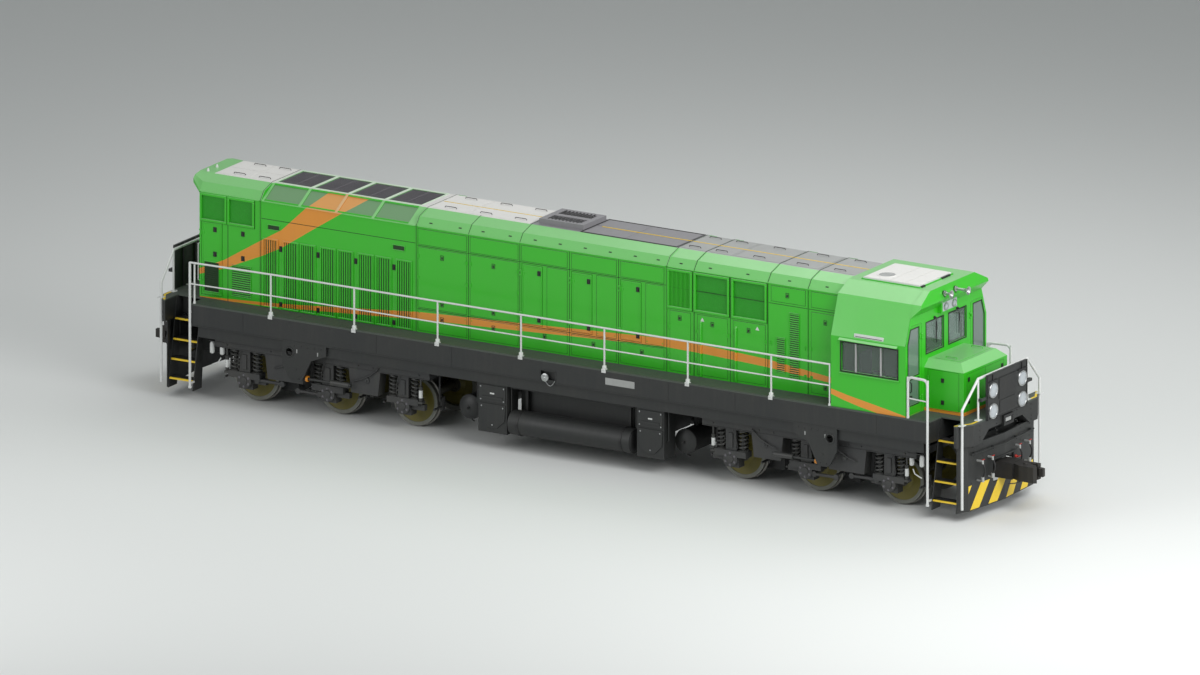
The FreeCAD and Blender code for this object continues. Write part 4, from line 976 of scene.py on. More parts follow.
def wipers():
    parts = Parts()
    spindle = [(0.03, 0), (0.03, 0.02), (0.018, 0.03), (0.016, 0.05)]
    for y in (-0.46, 0.42):
        parts.turned((CAB_FRONT, y, 3.97), FORWARD, spindle, 14)
        parts.tube([(CAB_FRONT + 0.042, y, 3.97), (CAB_FRONT + 0.045, y + 0.04, 3.8),
                    (CAB_FRONT + 0.03, y + 0.07, 3.68)], 0.006, 6)
        parts.box(CAB_FRONT + 0.004, CAB_FRONT + 0.02, y + 0.065, y + 0.075, 3.42, 3.86)
    piece("windscreen_wipers", parts, black_paint, bevel=0.002)


def cab_door_trim():
    """Panes with their rubbers on both faces of each cab door, and the handles."""
    on_front_inside = end_face(edge("cab_front_right_door", 0, 0), -1)
    on_rear_inside = end_face(edge("cab_rear_door", 0, 1))
    pull = ((0, 2.6), (0.06, 2.62), (0.06, 2.8), (0, 2.82))
    knob = [(0.025, 0), (0.025, 0.012), (0.01, 0.016), (0.01, 0.05), (0.022, 0.055), (0.022, 0.07),
            (0.008, 0.072)]
    for side, flip in (("right", 1), ("left", -1)):
        body = "cab_front_%s_door_body" % side
        turn = Matrix.Scale(flip, 4, LEFT)
        rubbers, metal, panes = Parts(), Parts(), Parts()
        for outline in LEAF_PANES:
            for at in (on_cab_front, on_front_inside):
                pane_trim(rubbers, panes, at, outline)
        piece(body + "_panes", panes.moved(turn), door_pane, body)
        metal.tube([on_cab_front(-1.445, z, out) for out, z in pull], 0.012)
        metal.turned((CAB_FRONT, -1.45, 2.52), FORWARD, knob, 14)
        piece(body + "_rubbers", rubbers.moved(turn), rubber, body, 0.004)
        piece(body + "_handle", metal.moved(turn), black_paint, body)
    rubbers, metal, panes = Parts(), Parts(), Parts()
    for at in (on_cab_rear, on_rear_inside):
        pane_trim(rubbers, panes, at, REAR_PANE)
    body = "cab_rear_door_body"
    piece(body + "_pane", panes, door_pane, body)
    rear_pull = ((0, 2.62), (0.05, 2.64), (0.05, 2.86), (0, 2.88))
    metal.tube([on_cab_rear(1.09, z, out) for out, z in rear_pull], 0.011)
    piece(body + "_rubber", rubbers, rubber, body, 0.004)
    piece(body + "_handle", metal, black_paint, body)


LAMP_FACE = FRAME_END + 0.041
LAMP_SIDES = (-0.568, 0.568)
HEADLIGHT_LOW, HEADLIGHT_HIGH, HEADLIGHT_HALF = 4.055, 4.245, 0.28


def lamp(rims, glasses, centre, end, radius):
    """Round lamp: bright bezel with a dished reflector, and a fluted lens."""
    axis = (end, 0, 0)
    rims.loop(centre, axis, [(radius * 0.82, 0.002), (radius, 0), (radius, 0.022), (radius * 0.95, 0.032),
                             (radius * 0.86, 0.034), (radius * 0.8, 0.026)], 32)
    rims.turned(centre, axis, [(radius * 0.8, 0.016), (radius * 0.6, 0.007), (radius * 0.3, 0.003),
                               (0.01, 0.002)], 32)
    glasses.turned(centre, axis, [(radius * 0.84, 0.018), (radius * 0.84, 0.023), (radius * 0.6, 0.028),
                                  (radius * 0.3, 0.031), (0.01, 0.032)], 32)
    for i in range(-3, 4):
        reach = (0.62 - (i * 0.2) ** 2) ** 0.5 * radius * 0.9
        y = centre[1] + i * radius * 0.2
        glasses.box(*sorted((centre[0] + end * 0.022, centre[0] + end * 0.0315)), y - 0.003, y + 0.003,
                    centre[2] - reach, centre[2] + reach)


def lights():
    """The headlight over the windscreen and the four lamps of each end panel."""
    housing, cover, rims, glasses = Parts(), Parts(), Parts(), Parts()
    face = CAB_FRONT + 0.086
    low, high = (-HEADLIGHT_HALF, HEADLIGHT_LOW), (HEADLIGHT_HALF, HEADLIGHT_HIGH)
    window_trim(housing, end_face(face), low, high, 0.01, 0.02)
    cover.box(face, face + 0.008, low[0], high[0], low[1], high[1])
    piece("headlight_covers", cover, lamp_cover, bevel=0.003)
    for y in (-0.16, 0.16):
        lamp(rims, glasses, (face, y, 4.15), 1, 0.08)
    for end in (1, -1):
        for y in LAMP_SIDES:
            for z in (2.655, 2.215):
                lamp(rims, glasses, (end * LAMP_FACE, y, z), end, 0.165)
    piece("lamp_housing", housing, plain_green, bevel=0.003, slot="frame_grey")
    piece("lamp_rims", rims, bright_steel)
    whole = piece("lamp_lenses", glasses, lens_glass)
    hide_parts("lamps")


def cab_roof_fittings():
    low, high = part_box("air_conditioner")
    x0, x1, y0, y1, top = low.x, high.x, low.y, high.y, high.z
    first, second = x0 + 0.62, x0 + 0.98
    parts, dark, flange, stays = Parts(), Parts(), Parts(), Parts()
    for a, b in ((x0 + 0.02, first - 0.01), (first + 0.01, second - 0.01), (second + 0.01, x1 - 0.02)):
        parts.box(a, b, y0 + 0.02, y1 - 0.02, top, top + 0.008)
    hub, reach = Vector((x0 + 0.35, y0 + 0.36, top + 0.008)), 0.17
    parts.ring(hub, UP, reach, 0.21, 0.012, 32)
    bolts(parts, [(x, y, top + 0.006) for x in (x0 + 0.06, first - 0.05, second + 0.05, x1 - 0.06)
                  for y in (y0 + 0.06, y1 - 0.06)], UP, 0.01, 0.008)
    dark.turned(hub, UP, [(reach, 0), (reach, 0.006), (0.03, 0.009), (0.002, 0.009)], 32)
    for i in range(8):
        angle = math.pi * i / 8
        way = Vector((math.cos(angle), math.sin(angle), 0)) * reach
        middle = hub + Vector((0, 0, 0.008))
        dark.tube([middle - way, middle + way], 0.003, 5)
    flat_rim(flange, x0, x1, y0, y1, 0.03, 0.03, CROWN - 0.001, CROWN + 0.02)
    for a, b in ((y0 + 0.02, y0 + 0.16), (y1 - 0.42, y1 - 0.1)):
        stays.box(x1 + 0.004, x1 + 0.045, a, b, CROWN, CROWN + 0.035)
    piece("air_conditioner_stays", stays, black_paint, bevel=0.003)
    piece("air_conditioner_covers", parts, panel_grey, bevel=0.004)
    piece("air_conditioner_fan", dark, roof_mid, slot="shutter_grey")
    piece("air_conditioner_flange", flange, plain_green, bevel=0.003)


def horns():
    parts, rings = Parts(), Parts()
    low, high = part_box("horns")
    z = (low.z + high.z) / 2
    throat = [(0.055, 0.03), (0.055, 0.052), (0.03, 0.06)]
    driver = [(0.045, 0), (0.059, 0.008), (0.059, 0.026), (0.045, 0.034)]
    for y, x_end in ((-0.39, high.x - 0.145), (0.04, high.x)):
        start = low.x
        length = x_end - start
        outside = [(0.026, length * 0.45), (0.03, length * 0.65), (0.04, length * 0.82),
                   (0.058, length * 0.93), (0.09, length)]
        inside = [(0.085, length), (0.052, length * 0.93), (0.034, length * 0.82), (0.02, length * 0.6)]
        parts.turned((start, y, z), FORWARD, throat + outside + inside, 28)
        rings.turned((start, y, z), FORWARD, driver, 28)
        rings.tube([(start + 0.045, y, z - 0.055), (start + 0.03, y, z - 0.085),
                    (start - 0.02, y, z - 0.095)], 0.009)
    trumpets = piece("horn_trumpets", parts, bright_steel)
    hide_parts("horns")
    piece("horn_drivers", rings, black_paint)


def nose_fittings():
    lines, locks, hand, front, top = Parts(), Parts(), Parts(), Parts(), Parts()
    y = -0.85
    at_side, at_front = side_face(y), end_face(NOSE_FRONT)
    for x in (8.38, 9.12):
        lines.box(x - 0.003, x + 0.003, y - SEAM_PROUD, y, DECK + 0.06, 2.98)
    for z in (2.98, 2.15):
        lines.box(8.38, 9.12, y - SEAM_PROUD, y, z - 0.003, z + 0.003)
    for z in (2.778, 2.313):
        latch(locks, at_side, 8.73, z, 0.05, 0.07)
        latch(locks, at_front, -0.65, z + 0.05, 0.05, 0.07)
    for x in (8.38, 8.395):
        for z in (2.35, 2.8):
            hinge(hand, at_side, x, z, 0.09)
    low, high = DECK + 0.08, 2.95
    for y0, y1, z0, z1 in ((-0.723, -0.717, low, high), (-0.003, 0.003, low, high),
                           (-0.72, 0.72, 2.947, 2.953), (0.717, 0.723, low, high)):
        front.box(NOSE_FRONT, NOSE_FRONT + SEAM_PROUD, y0, y1, z0, z1)
    top.box(8.42, 8.98, -0.62, 0.62, NOSE_TOP, NOSE_TOP + 0.006)
    for y in (-0.5, 0.5):
        top.tube([(x, y, NOSE_TOP + up) for x, up in ((8.6, 0), (8.6, 0.04), (8.86, 0.04), (8.86, 0))],
                 0.009)
    piece("nose_seams", lines.both_sides(), dark_green)
    piece("nose_front_seams", front, dark_green)
    piece("nose_latches", locks.both_sides(), black_paint, bevel=0.0015)
    piece("nose_hinges", hand.both_sides(), plain_green)
    piece("nose_lid", top, body_green, bevel=0.003)


# ---------------------------------------------------------------- inside the cab
def cushion_mesh(name, size, centre, crown, waist):
    """Crowned pad whose sides pull in between its corners; flat underneath."""
    across, along, thick = size
    shape = bmesh.new()
    count, top_level = 14, 4
    grid = {}
    for level, share in enumerate((0.0, 0.3, 0.62, 0.85, 1.0)):
        for i in range(count + 1):
            for j in range(count + 1):
                rim = i in (0, count) or j in (0, count)
                if level not in (0, top_level) and not rim:
                    continue
                u, v = 2 * i / count - 1, 2 * j / count - 1
                pull = 1 - waist * (1 - v * v) * abs(u) ** 4
                push = 1 - waist * (1 - u * u) * abs(v) ** 4
                tuck = 1 - 0.055 * (2 * share - 1) ** 4
                x = u * across / 2 * pull * tuck
                y = v * along / 2 * push * tuck
                z = thick * share * 0.82
                if level == top_level:
                    z += thick * crown * (1 - u ** 4) * (1 - v ** 4)
                    z -= thick * 0.1 * math.exp(-((abs(v) - 0.45) / 0.05) ** 2) * (1 - u ** 6)
                grid[level, i, j] = shape.verts.new((x, y, z))
    for level in (0, top_level):
        for i in range(count):
            for j in range(count):
                shape.faces.new([grid[level, i, j], grid[level, i + 1, j], grid[level, i + 1, j + 1],
                                 grid[level, i, j + 1]])
    border = ([(i, 0) for i in range(count)] + [(count, j) for j in range(count)]
              + [(i, count) for i in range(count, 0, -1)] + [(0, j) for j in range(count, 0, -1)])
    for level in range(top_level):
        for k, (i, j) in enumerate(border):
            m, n = border[(k + 1) % len(border)]
            shape.faces.new([grid[level, i, j], grid[level, m, n], grid[level + 1, m, n],
                             grid[level + 1, i, j]])
    bmesh.ops.recalc_face_normals(shape, faces=shape.faces)
    mesh = bpy.data.meshes.new(name)
    shape.to_mesh(mesh)
    shape.free()
    mesh.transform(centre)
    mesh.shade_smooth()
    mesh.materials.append(seat_cloth)
    pad = add_object(name, mesh)
    round_off = pad.modifiers.new("round", "SUBSURF")
    round_off.levels = round_off.render_levels = 2
    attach(pad, "root")


def seats():
    frames = Parts()
    pedestal = [(0.15, 0), (0.15, 0.03), (0.05, 0.05), (0.045, 0.3), (0.12, 0.34), (0.12, 0.36)]
    for tag, y in (("right", -1.0), ("left", 1.0)):
        frames.turned((7.25, y, DECK), UP, pedestal, 20)
        frames.box(7.02, 7.5, y - 0.2, y + 0.2, DECK + 0.355, DECK + 0.385)
        frames.box(6.945, 6.965, y - 0.2, y + 0.2, 2.5, 3.2)
        for arm in (y - 0.235, y + 0.235):
            frames.tube([(7.02, arm, 2.72), (7.3, arm, 2.74), (7.32, arm, 2.7), (7.3, arm, 2.5)], 0.016)
        seat = Matrix.Translation((7.26, y, 2.482))
        cushion_mesh("seat_cushion_" + tag, (0.5, 0.44, 0.125), seat, 0.2, 0.05)
        back = Matrix.Translation((6.965, y, 2.91)) @ Matrix.Rotation(math.pi / 2, 4, "Y")
        cushion_mesh("back_cushion_" + tag, (0.62, 0.44, 0.05), back, 0.25, 0.06)
    base = piece("seat_frames", frames, black_paint, bevel=0.003, slot="cab_interior_grey")
    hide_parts("cab_seats")


def cab_inside():
    parts, dark = Parts(), Parts()
    for y in (-0.62, 0.62):
        for i in range(3):
            y0, y1 = y - 0.2 + i * 0.14, y - 0.09 + i * 0.14
            dark.prism([(7.9, y0, 3.02), (7.93, y0, 3.13), (7.94, y1, 3.13), (7.91, y1, 3.02)],
                       (0.004, 0, 0.002))
        lever = [(0.03, 0), (0.02, 0.03), (0.012, 0.04), (0.012, 0.14), (0.022, 0.15), (0.02, 0.18)]
        parts.turned((7.98, y, 3.1), UP, lever, 14)
    for y in (-0.75, -0.25, 0.25, 0.75):
        parts.box(8.02, 8.14, y - 0.16, y + 0.16, 3.12, 3.2)
        dark.box(8.014, 8.02, y - 0.14, y + 0.14, 3.135, 3.19)
    piece("desk_controls", parts, interior_grey, bevel=0.004)
    piece("desk_screens", dark, screen_dark, bevel=0.001)


# ---------------------------------------------------------------- ends, rails and stairs
SILL_END = 8.84
RIDGE = edge("pilots", 0, 1)
PILOT_CORNER = 1.27


def on_pilot(across, up, out):
    """Point on the middle stretch of the front pilot, which is a shallow wedge."""
    return (RIDGE - 0.1 * abs(across) / PILOT_CORNER + out, across, up)


def clipped(outline, limit, keep):
    """The part of an outline on one side of a line across it: keep is 1 for above the limit, -1 for below."""
    result = []
    for i, (y, z) in enumerate(outline):
        last_y, last_z = outline[i - 1]
        inside, was_inside = keep * (y - limit) >= 0, keep * (last_y - limit) >= 0
        if inside != was_inside:
            share = (limit - last_y) / (y - last_y)
            result.append((limit, last_z + share * (z - last_z)))
        if inside:
            result.append((y, z))
    return result


def hazard_stripes():
    stripes = Parts()
    bottom, top, wide, lean, pitch = 0.235, 0.75, 0.31, 0.73, 0.63
    shift = lean * (top - bottom)
    for k in range(-1, 4):
        y = -1.2 + pitch * k
        outline = [(y, bottom), (y + wide, bottom), (y + wide + shift, top), (y + shift, top)]
        outline = clipped(clipped(outline, -PILOT_CORNER + 0.01, 1), PILOT_CORNER - 0.01, -1)
        for keep in (-1, 1):
            half = clipped(outline, 0, keep)
            if len(half) > 2:
                stripes.prism([on_pilot(a, u, 0) for a, u in half], (0.002, 0, 0))
    piece("hazard_stripes", stripes.both_ends(), yellow_paint)


def end_fittings():
    """Socket box, blank plate, post feet, bolts and bars on the pilot, cock handles and deck line."""
    box_parts, plates, feet, seams, cocks, line = [Parts() for _ in range(6)]
    face = FRAME_END
    window_trim(box_parts, end_face(face), (-0.08, 1.86), (0.18, 1.96), 0.055, 0.06)
    box_parts.box(face, face + 0.03, -0.08, 0.18, 1.86, 1.96)
    plates.box(face + 0.03, face + 0.036, -0.06, 0.16, 1.87, 1.95)
    piece("end_socket_boxes", box_parts.both_ends(), black_paint, bevel=0.004)
    piece("end_blank_plates", plates.both_ends(), roof_mid, bevel=0.002, slot="handrail_white")
    foot_top = DECK + 0.014
    for x, y in ((face - 0.07, 0.96), (face - 0.07, 0.32), (9.605, 1.515)):
        feet.box(x - 0.055, x + 0.055, y - 0.075, y + 0.075, DECK, foot_top)
        bolts(feet, [(x + dx, y + dy, foot_top) for dx in (-0.035, 0.035) for dy in (-0.055, 0.055)],
              UP, 0.01, 0.008)
    piece("end_post_plates", feet.both_sides().both_ends(), white_paint, bevel=0.002)
    for y in (-1.0, -0.35, 0.45, 1.0):
        bolts(seams, [(face, y, z) for z in (1.68, 1.76, 1.9, 2.0)], FORWARD, 0.014, 0.01)
    bolts(seams, [on_pilot(y, 0.8, 0) for y in (-1.15, -0.85, -0.45, 0.45, 0.85, 1.15)], FORWARD, 0.014,
          0.01)
    bolts(seams, [on_pilot(y, z, 0) for y in (-1.1, -0.75, 0.7, 1.1) for z in (1.3, 1.55)], FORWARD,
          0.013, 0.01)
    seams.tube([on_pilot(y, 1.42, 0.045) for y in (-1.22, 0, 1.22)], 0.018, 10)
    for y in (-1.1, -0.45, 0.45, 1.1):
        x = on_pilot(y, 0, 0)[0]
        seams.box(x - 0.01, x + 0.06, y - 0.015, y + 0.015, 1.39, 1.45)
    seams.box(RIDGE - 0.03, RIDGE + 0.012, -0.46, 0.46, 1.14, 1.17)
    seams.box(9.4, 9.42, -1.1, 1.1, 1.06, 1.64)
    piece("pilot_fittings", seams.both_ends(), frame_grey, bevel=0.002)
    for y in (-0.96, -0.57, 0.49, 0.88):
        cocks.box(face + 0.03, face + 0.05, y - 0.015, y + 0.075, 1.262, 1.276)
    x = on_pilot(0.42, 0, 0)[0]
    cocks.turned((x, 0.47, 1.01), FORWARD, [(0.035, 0), (0.035, 0.03), (0.02, 0.04), (0.02, 0.07)], 14)
    cocks.box(x + 0.07, x + 0.082, 0.458, 0.56, 1.0, 1.02)
    piece("pilot_cocks", cocks.both_ends(), red_paint, bevel=0.002)
    outer, inner = 0.012, 0.065
    corner_line = [(9.52, -1.6), (9.715, -1.25), (9.715, -1.0)]
    for (xa, ya), (xb, yb) in zip(corner_line, corner_line[1:]):
        corners = [(xa - inner, ya, DECK), (xa - outer, ya, DECK), (xb - outer, yb, DECK),
                   (xb - inner, yb, DECK)]
        line.prism(corners, (0, 0, 0.0025))
    piece("deck_corner_lines", line.both_sides().both_ends(), yellow_paint)


def lamp_panel_fittings():
    parts, cords = Parts(), Parts()
    low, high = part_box("lamp_panels")
    bottom, top = low.z + 0.01, high.z - 0.01
    face = LAMP_FACE
    for y in LAMP_SIDES:
        parts.box(face, face + 0.03, y - 0.17, y + 0.17, 2.845, 2.865)
        parts.box(face, face + 0.02, y - 0.02, y + 0.02, 2.84, top)
        for z in (2.215, 2.655):
            corners = [(y + 0.19 * math.cos(turn), z + 0.19 * math.sin(turn))
                       for turn in (0.785, 2.356, 3.927, 5.498)]
            bolts(parts, [(face, across, up) for across, up in corners], FORWARD, 0.01, 0.008)
    for y in (-0.765, 0.765):
        parts.box(face, face + 0.01, y - 0.013, y + 0.013, bottom, top)
    for z in (bottom, top):
        parts.box(face, face + 0.01, -0.77, 0.77, z - 0.008, z + 0.008)
    parts.box(face, face + 0.015, -0.33, 0.33, 2.42, 2.86)
    parts.box(face, face + 0.01, -0.3, 0.3, 2.12, 2.38)
    back = FRAME_END - 0.002
    for y in (-0.45, 0.0, 0.45):
        cords.box(back - 0.03, back, y - 0.025, y + 0.025, bottom, top)
    cords.tube([(back - 0.02, -0.3, 2.3), (back - 0.05, -0.32, 2.2), (back - 0.05, -0.32, DECK)], 0.015)
    piece("lamp_panel_brackets", parts.both_ends(), black_paint, bevel=0.003)
    piece("lamp_panel_ribs", cords.both_ends(), frame_grey, bevel=0.003)


STAIR_FOOT = (1.5, 0.205)
STAIR_LEAN = 0.35
STAIR_X = (8.87, 9.44)
TREAD_HEIGHTS = (0.415, 0.805, 1.21, 1.625)


def stair_fittings():
    """Yellow nosing, grip bars and side bolts of each tread."""
    nosings, treads, plates = Parts(), Parts(), Parts()
    foot_y, foot_z = STAIR_FOOT
    x0, x1 = STAIR_X
    for z in TREAD_HEIGHTS:
        y = -foot_y + STAIR_LEAN * (z - foot_z) / (DECK - 0.03 - foot_z)
        nosings.box(x0, x1, y + 0.001, y + 0.032, z, z + 0.004)
        nosings.box(x0, x1, y - 0.003, y + 0.001, z - 0.03, z + 0.003)
        for k in range(14):
            x = x0 + 0.015 + k * 0.04
            treads.box(x, x + 0.01, y + 0.045, y + 0.24, z, z + 0.003)
        bolts(plates, [(x0 - 0.022, y + step, z - 0.015) for step in (0.06, 0.2)], (-1, 0, 0), 0.011, 0.008)
    piece("tread_nosings", nosings.both_sides().both_ends(), yellow_paint)
    piece("tread_grips", treads.both_sides().both_ends(), bogie_grey, slot="frame_grey")
    piece("stair_bolts", plates.both_sides().both_ends(), frame_grey)


RAIL_POSTS = (-6.94, -4.94, -2.94, -0.94, 1.06, 3.06, 5.06)
RAIL_Y = -1.57


def rail_fittings():
    """Cups, collars and blocks of the side handrail posts, and the grab rails on the rear wall."""
    cups, ties, grabs = Parts(), Parts(), Parts()
    cup = [(0.055, 0), (0.055, 0.012), (0.046, 0.016), (0.046, 0.075), (0.036, 0.088), (0.022, 0.092)]
    for x in RAIL_POSTS:
        cups.turned((x, RAIL_Y, DECK), UP, cup, 20)
        cups.ring((x - 0.022, RAIL_Y, 2.52), FORWARD, 0.014, 0.024, 0.044, 14)
        ties.box(x - 0.05, x + 0.05, -DECK_HALF - 0.012, -1.53, DECK - 0.06, DECK + 0.02)
        bolts(ties, [(x + dx, -DECK_HALF - 0.012, DECK - 0.02) for dx in (-0.03, 0.03)], OUT, 0.009,
              0.007)
    piece("rail_post_cups", cups.both_sides(), white_paint)
    piece("rail_post_blocks", ties.both_sides(), white_paint, bevel=0.004)
    for y in (-0.98, 0.98):
        rail = ((0, 2.41), (0.06, 2.43), (0.06, 3.2), (0, 3.22))
        grabs.tube([(HOOD_REAR - out, y, z) for out, z in rail], 0.014)
    piece("rear_grab_rails", grabs, white_paint)


def deck_edges():
    parts = Parts()
    parts.box(-SILL_END, SILL_END, -DECK_HALF - 0.004, -DECK_HALF + 0.03, DECK - 0.002, DECK + 0.006)
    for step in range(-8, 9):
        x = step * 1.07
        parts.box(x - 0.003, x + 0.003, -DECK_HALF + 0.03, -SIDE - 0.02, DECK, DECK + 0.002)
    piece("deck_edging", parts.both_sides(), deck_grey)


def rear_wall():
    """Seams, latches and louvres of the rear wall, and the two aerials on the roof above it."""
    rear, locks, fins, cones = Parts(), Parts(), Parts(), Parts()
    at = end_face(HOOD_REAR, -1)
    for y in (-0.62, 0.0, 0.62):
        rear.box(HOOD_REAR - SEAM_PROUD, HOOD_REAR, y - 0.003, y + 0.003, DECK + 0.06, 4.2)
    rear.box(HOOD_REAR - SEAM_PROUD, HOOD_REAR, -0.95, 0.95, 3.3, 3.306)
    piece("rear_wall_seams", rear, dark_green)
    for y in (-0.36, 0.26):
        for z in (2.5, 3.0):
            latch(locks, at, y, z)
    for y0, y1 in ((-0.55, -0.08), (0.08, 0.55)):
        window_trim(fins, at, (y0, 3.5), (y1, 4.05), 0.018, 0.022)
        slats(fins, at, y0, y1, 3.5, 4.05)
    piece("rear_wall_latches", locks, black_paint, bevel=0.0015)
    piece("rear_wall_louvres", fins, body_green)
    cone = [(0.035, 0), (0.03, 0.03), (0.018, 0.07), (0.006, 0.085)]
    for y in (-0.5, -0.15):
        cones.turned((-9.1, y, ROOF - 0.02), UP, cone, 14)
    piece("rear_roof_aerials", cones, white_paint)


# ---------------------------------------------------------------- underframe
SILL_FOOT = 1.645
CHAIN_LINKS = 14


def sill_fittings():
    """Bolts, ribs and a blank plate on the side sill, the filler cap on its chain, and the pipe below."""
    parts, cap, blank, pipes = Parts(), Parts(), Parts(), Parts()
    y = -DECK_HALF
    for i in range(36):
        x = -8.4 + i * 0.48
        if abs(x + 0.28) > 0.35:
            bolts(parts, [(x, y, 2.02)], OUT, 0.01, 0.007)
    parts.box(-SILL_END, SILL_END, y - 0.006, y, 1.625, SILL_FOOT)
    for x in (-7.6, -4.4, -2.6, 2.6, 4.2, 7.6):
        parts.box(x - 0.01, x + 0.01, y - 0.005, y, SILL_FOOT, DECK - 0.03)
    window_trim(parts, side_face(y), (-0.445, 1.69), (-0.105, 1.875), 0.01, 0.02)
    pipes.box(-0.44, -0.11, y + 0.066, y + 0.069, 1.695, 1.87)
    stopper = [(0.05, 0), (0.05, 0.045), (0.082, 0.047), (0.085, 0.055), (0.085, 0.08), (0.06, 0.09),
               (0.02, 0.092), (0.012, 0.104)]
    cap.turned((-0.345, y + 0.06, 1.735), OUT, stopper)
    shares = [i / CHAIN_LINKS for i in range(CHAIN_LINKS + 1)]
    cap.tube([(-0.325 + 0.225 * share, y - 0.014, 1.655 + 0.035 * share - 0.1 * math.sin(math.pi * share))
              for share in shares], 0.008, 6)
    blank.box(1.1, 1.8, y - 0.004, y, 1.79, 1.935)
    for x in (-6.3, -5.8, 5.89, 6.37):
        blank.box(x - 0.012, x + 0.012, y - 0.003, y, 1.4, 1.48)
    bolts(cap, [(x, y - 0.004, z) for x in (1.12, 1.78) for z in (1.81, 1.915)], OUT, 0.007, 0.005)
    pipes.tube([(-1.25, -1.46, 1.36), (1.7, -1.46, 1.36)], 0.016, 10)
    for i in range(7):
        x = -1.15 + i * 0.46
        pipes.box(x - 0.012, x + 0.012, -1.48, -1.44, 1.34, 1.39)
    piece("sill_fittings", parts.both_sides(), frame_grey, bevel=0.001)
    piece("filler_caps", cap.both_sides(), bright_steel)
    piece("sill_blank_plates", blank.both_sides(), roof_mid, bevel=0.001)
    piece("sill_pipes", pipes.both_sides(), black_paint)


def tank_fittings():
    """Bands and end caps of the air reservoirs, and the bolted covers of the equipment boxes."""
    bands, boxes, pale, tags = Parts(), Parts(), Parts(), Parts()
    y, z = -1.3103, 0.6
    for x in (-1.05, 1.42):
        bands.ring((x - 0.03, y, z), FORWARD, 0.261, 0.272, 0.06, 40)
        bands.box(x - 0.03, x + 0.03, y + 0.15, y + 0.21, 0.78, 1.39)
        bolts(bands, [(x, y - 0.272, z)], OUT, 0.014, 0.012)
    dome = [(0.235, 0), (0.22, 0.012), (0.16, 0.024), (0.05, 0.03), (0.02, 0.031)]
    for face, end in ((-1.27, -1), (1.64, 1)):
        bands.turned((face, y, z), (end, 0, 0), dome, 32)
    for x in (-2.46, 2.71):
        bands.ring((x, -1.02, 0.69), OUT, 0.25, 0.262, 0.05, 40)
        bands.turned((x, -1.158, 0.69), OUT, [(0.035, 0), (0.035, 0.03), (0.02, 0.035), (0.02, 0.06)], 12)
        bands.tube([(x, -1.0, 0.44), (x, -1.0, 0.4), (x + 0.06, -1.0, 0.38)], 0.016)
    face = -1.5
    lid, shield = face - 0.018, face - 0.02
    for x0, x1 in ((-2.01, -1.32), (1.8, 2.45)):
        middle = (x0 + x1) / 2
        boxes.box(x0 + 0.03, x1 - 0.03, lid, face, 1.0, 1.35)
        outline = ((x0 + 0.03, 0.96), (x1 - 0.03, 0.96), (x1 - 0.05, 0.62), (middle + 0.1, 0.45),
                   (middle - 0.1, 0.45), (x0 + 0.05, 0.62))
        boxes.prism([(x, face, up) for x, up in outline], (0, -0.02, 0))
        boxes.box(x0 + 0.1, x1 - 0.1, face - 0.03, lid, 1.06, 1.12)
        spots = [(x, lid, up) for x in (x0 + 0.07, x1 - 0.07) for up in (1.04, 1.31)]
        spots += [(x0 + 0.09, shield, 0.9), (x1 - 0.09, shield, 0.9), (middle, shield, 0.52)]
        bolts(pale, spots, OUT, 0.012, 0.01)
        tags.box(middle - 0.05, middle + 0.05, face - 0.022, lid, 1.17, 1.2)
        boxes.tube([(x0 - 0.05, -1.44, 1.38), (x0 - 0.05, -1.44, 0.95), (x0, -1.44, 0.9)], 0.018)
        boxes.tube([(x1 + 0.05, -1.4, 1.38), (x1 + 0.05, -1.4, 0.75), (x1, -1.4, 0.7)], 0.014)
    piece("reservoir_bands", bands.both_sides(), black_paint)
    piece("equipment_covers", boxes.both_sides(), frame_grey, bevel=0.004)
    piece("equipment_bolts", pale.both_sides(), bright_steel)
    piece("equipment_blank_tags", tags.both_sides(), white_paint)


def bracket_fittings():
    """Rings and bolts on the lifting brackets, and the sleeves and ends of the yaw dampers."""
    parts, sleeves, ends = Parts(), Parts(), Parts()
    for end in (1, -1):
        parts.ring((end * 6.48, -DECK_HALF, 1.4), OUT, 0.082, 0.115, 0.012, 28)
        spots = [(5.72 + i * 0.16, 1.55) for i in range(5)] + [(6.25, 0.86), (6.4, 0.86), (6.32, 1.05)]
        bolts(parts, [(end * x, -DECK_HALF, z) for x, z in spots], OUT, 0.014, 0.012)
    piece("lifting_bracket_rings", parts.both_sides(), frame_grey, bevel=0.002)
    y = -DECK_HALF + 0.105
    sleeves.loop((5.09, y, 0.86), FORWARD, [(0.043, 0), (0.056, 0.004), (0.056, 0.45), (0.043, 0.454)], 20)
    piece("yaw_damper_sleeves", sleeves.both_sides().both_ends(), spring_grey)
    ends.loop((6.08, y, 0.86), FORWARD, [(0.043, 0), (0.06, 0.004), (0.06, 0.05), (0.043, 0.054)], 20)
    piece("yaw_damper_ends", ends.both_sides().both_ends(), orange_paint)


# ---------------------------------------------------------------- bogies
# X from the pivot of the bogie, heights, and Y on its right side.
AXLES = (-1.9, -0.1, 1.9)
AXLE_Z = 0.553
SPRING_SEAT = 0.73
SPRING_Y, COVER_Y, DAMPER_Y, FRAME_Y = -1.22, -1.31, -1.3, -1.35
DAMPER_BEYOND = 0.42


def coil(parts, x, y, low, high, radius, wire, turns):
    steps = int(turns * 16)
    path = []
    for i in range(steps + 1):
        angle = 2 * math.pi * i * turns / steps
        path.append((x + radius * math.cos(angle), y + radius * math.sin(angle),
                     low + (high - low) * i / steps))
    parts.tube(path, wire, 7)


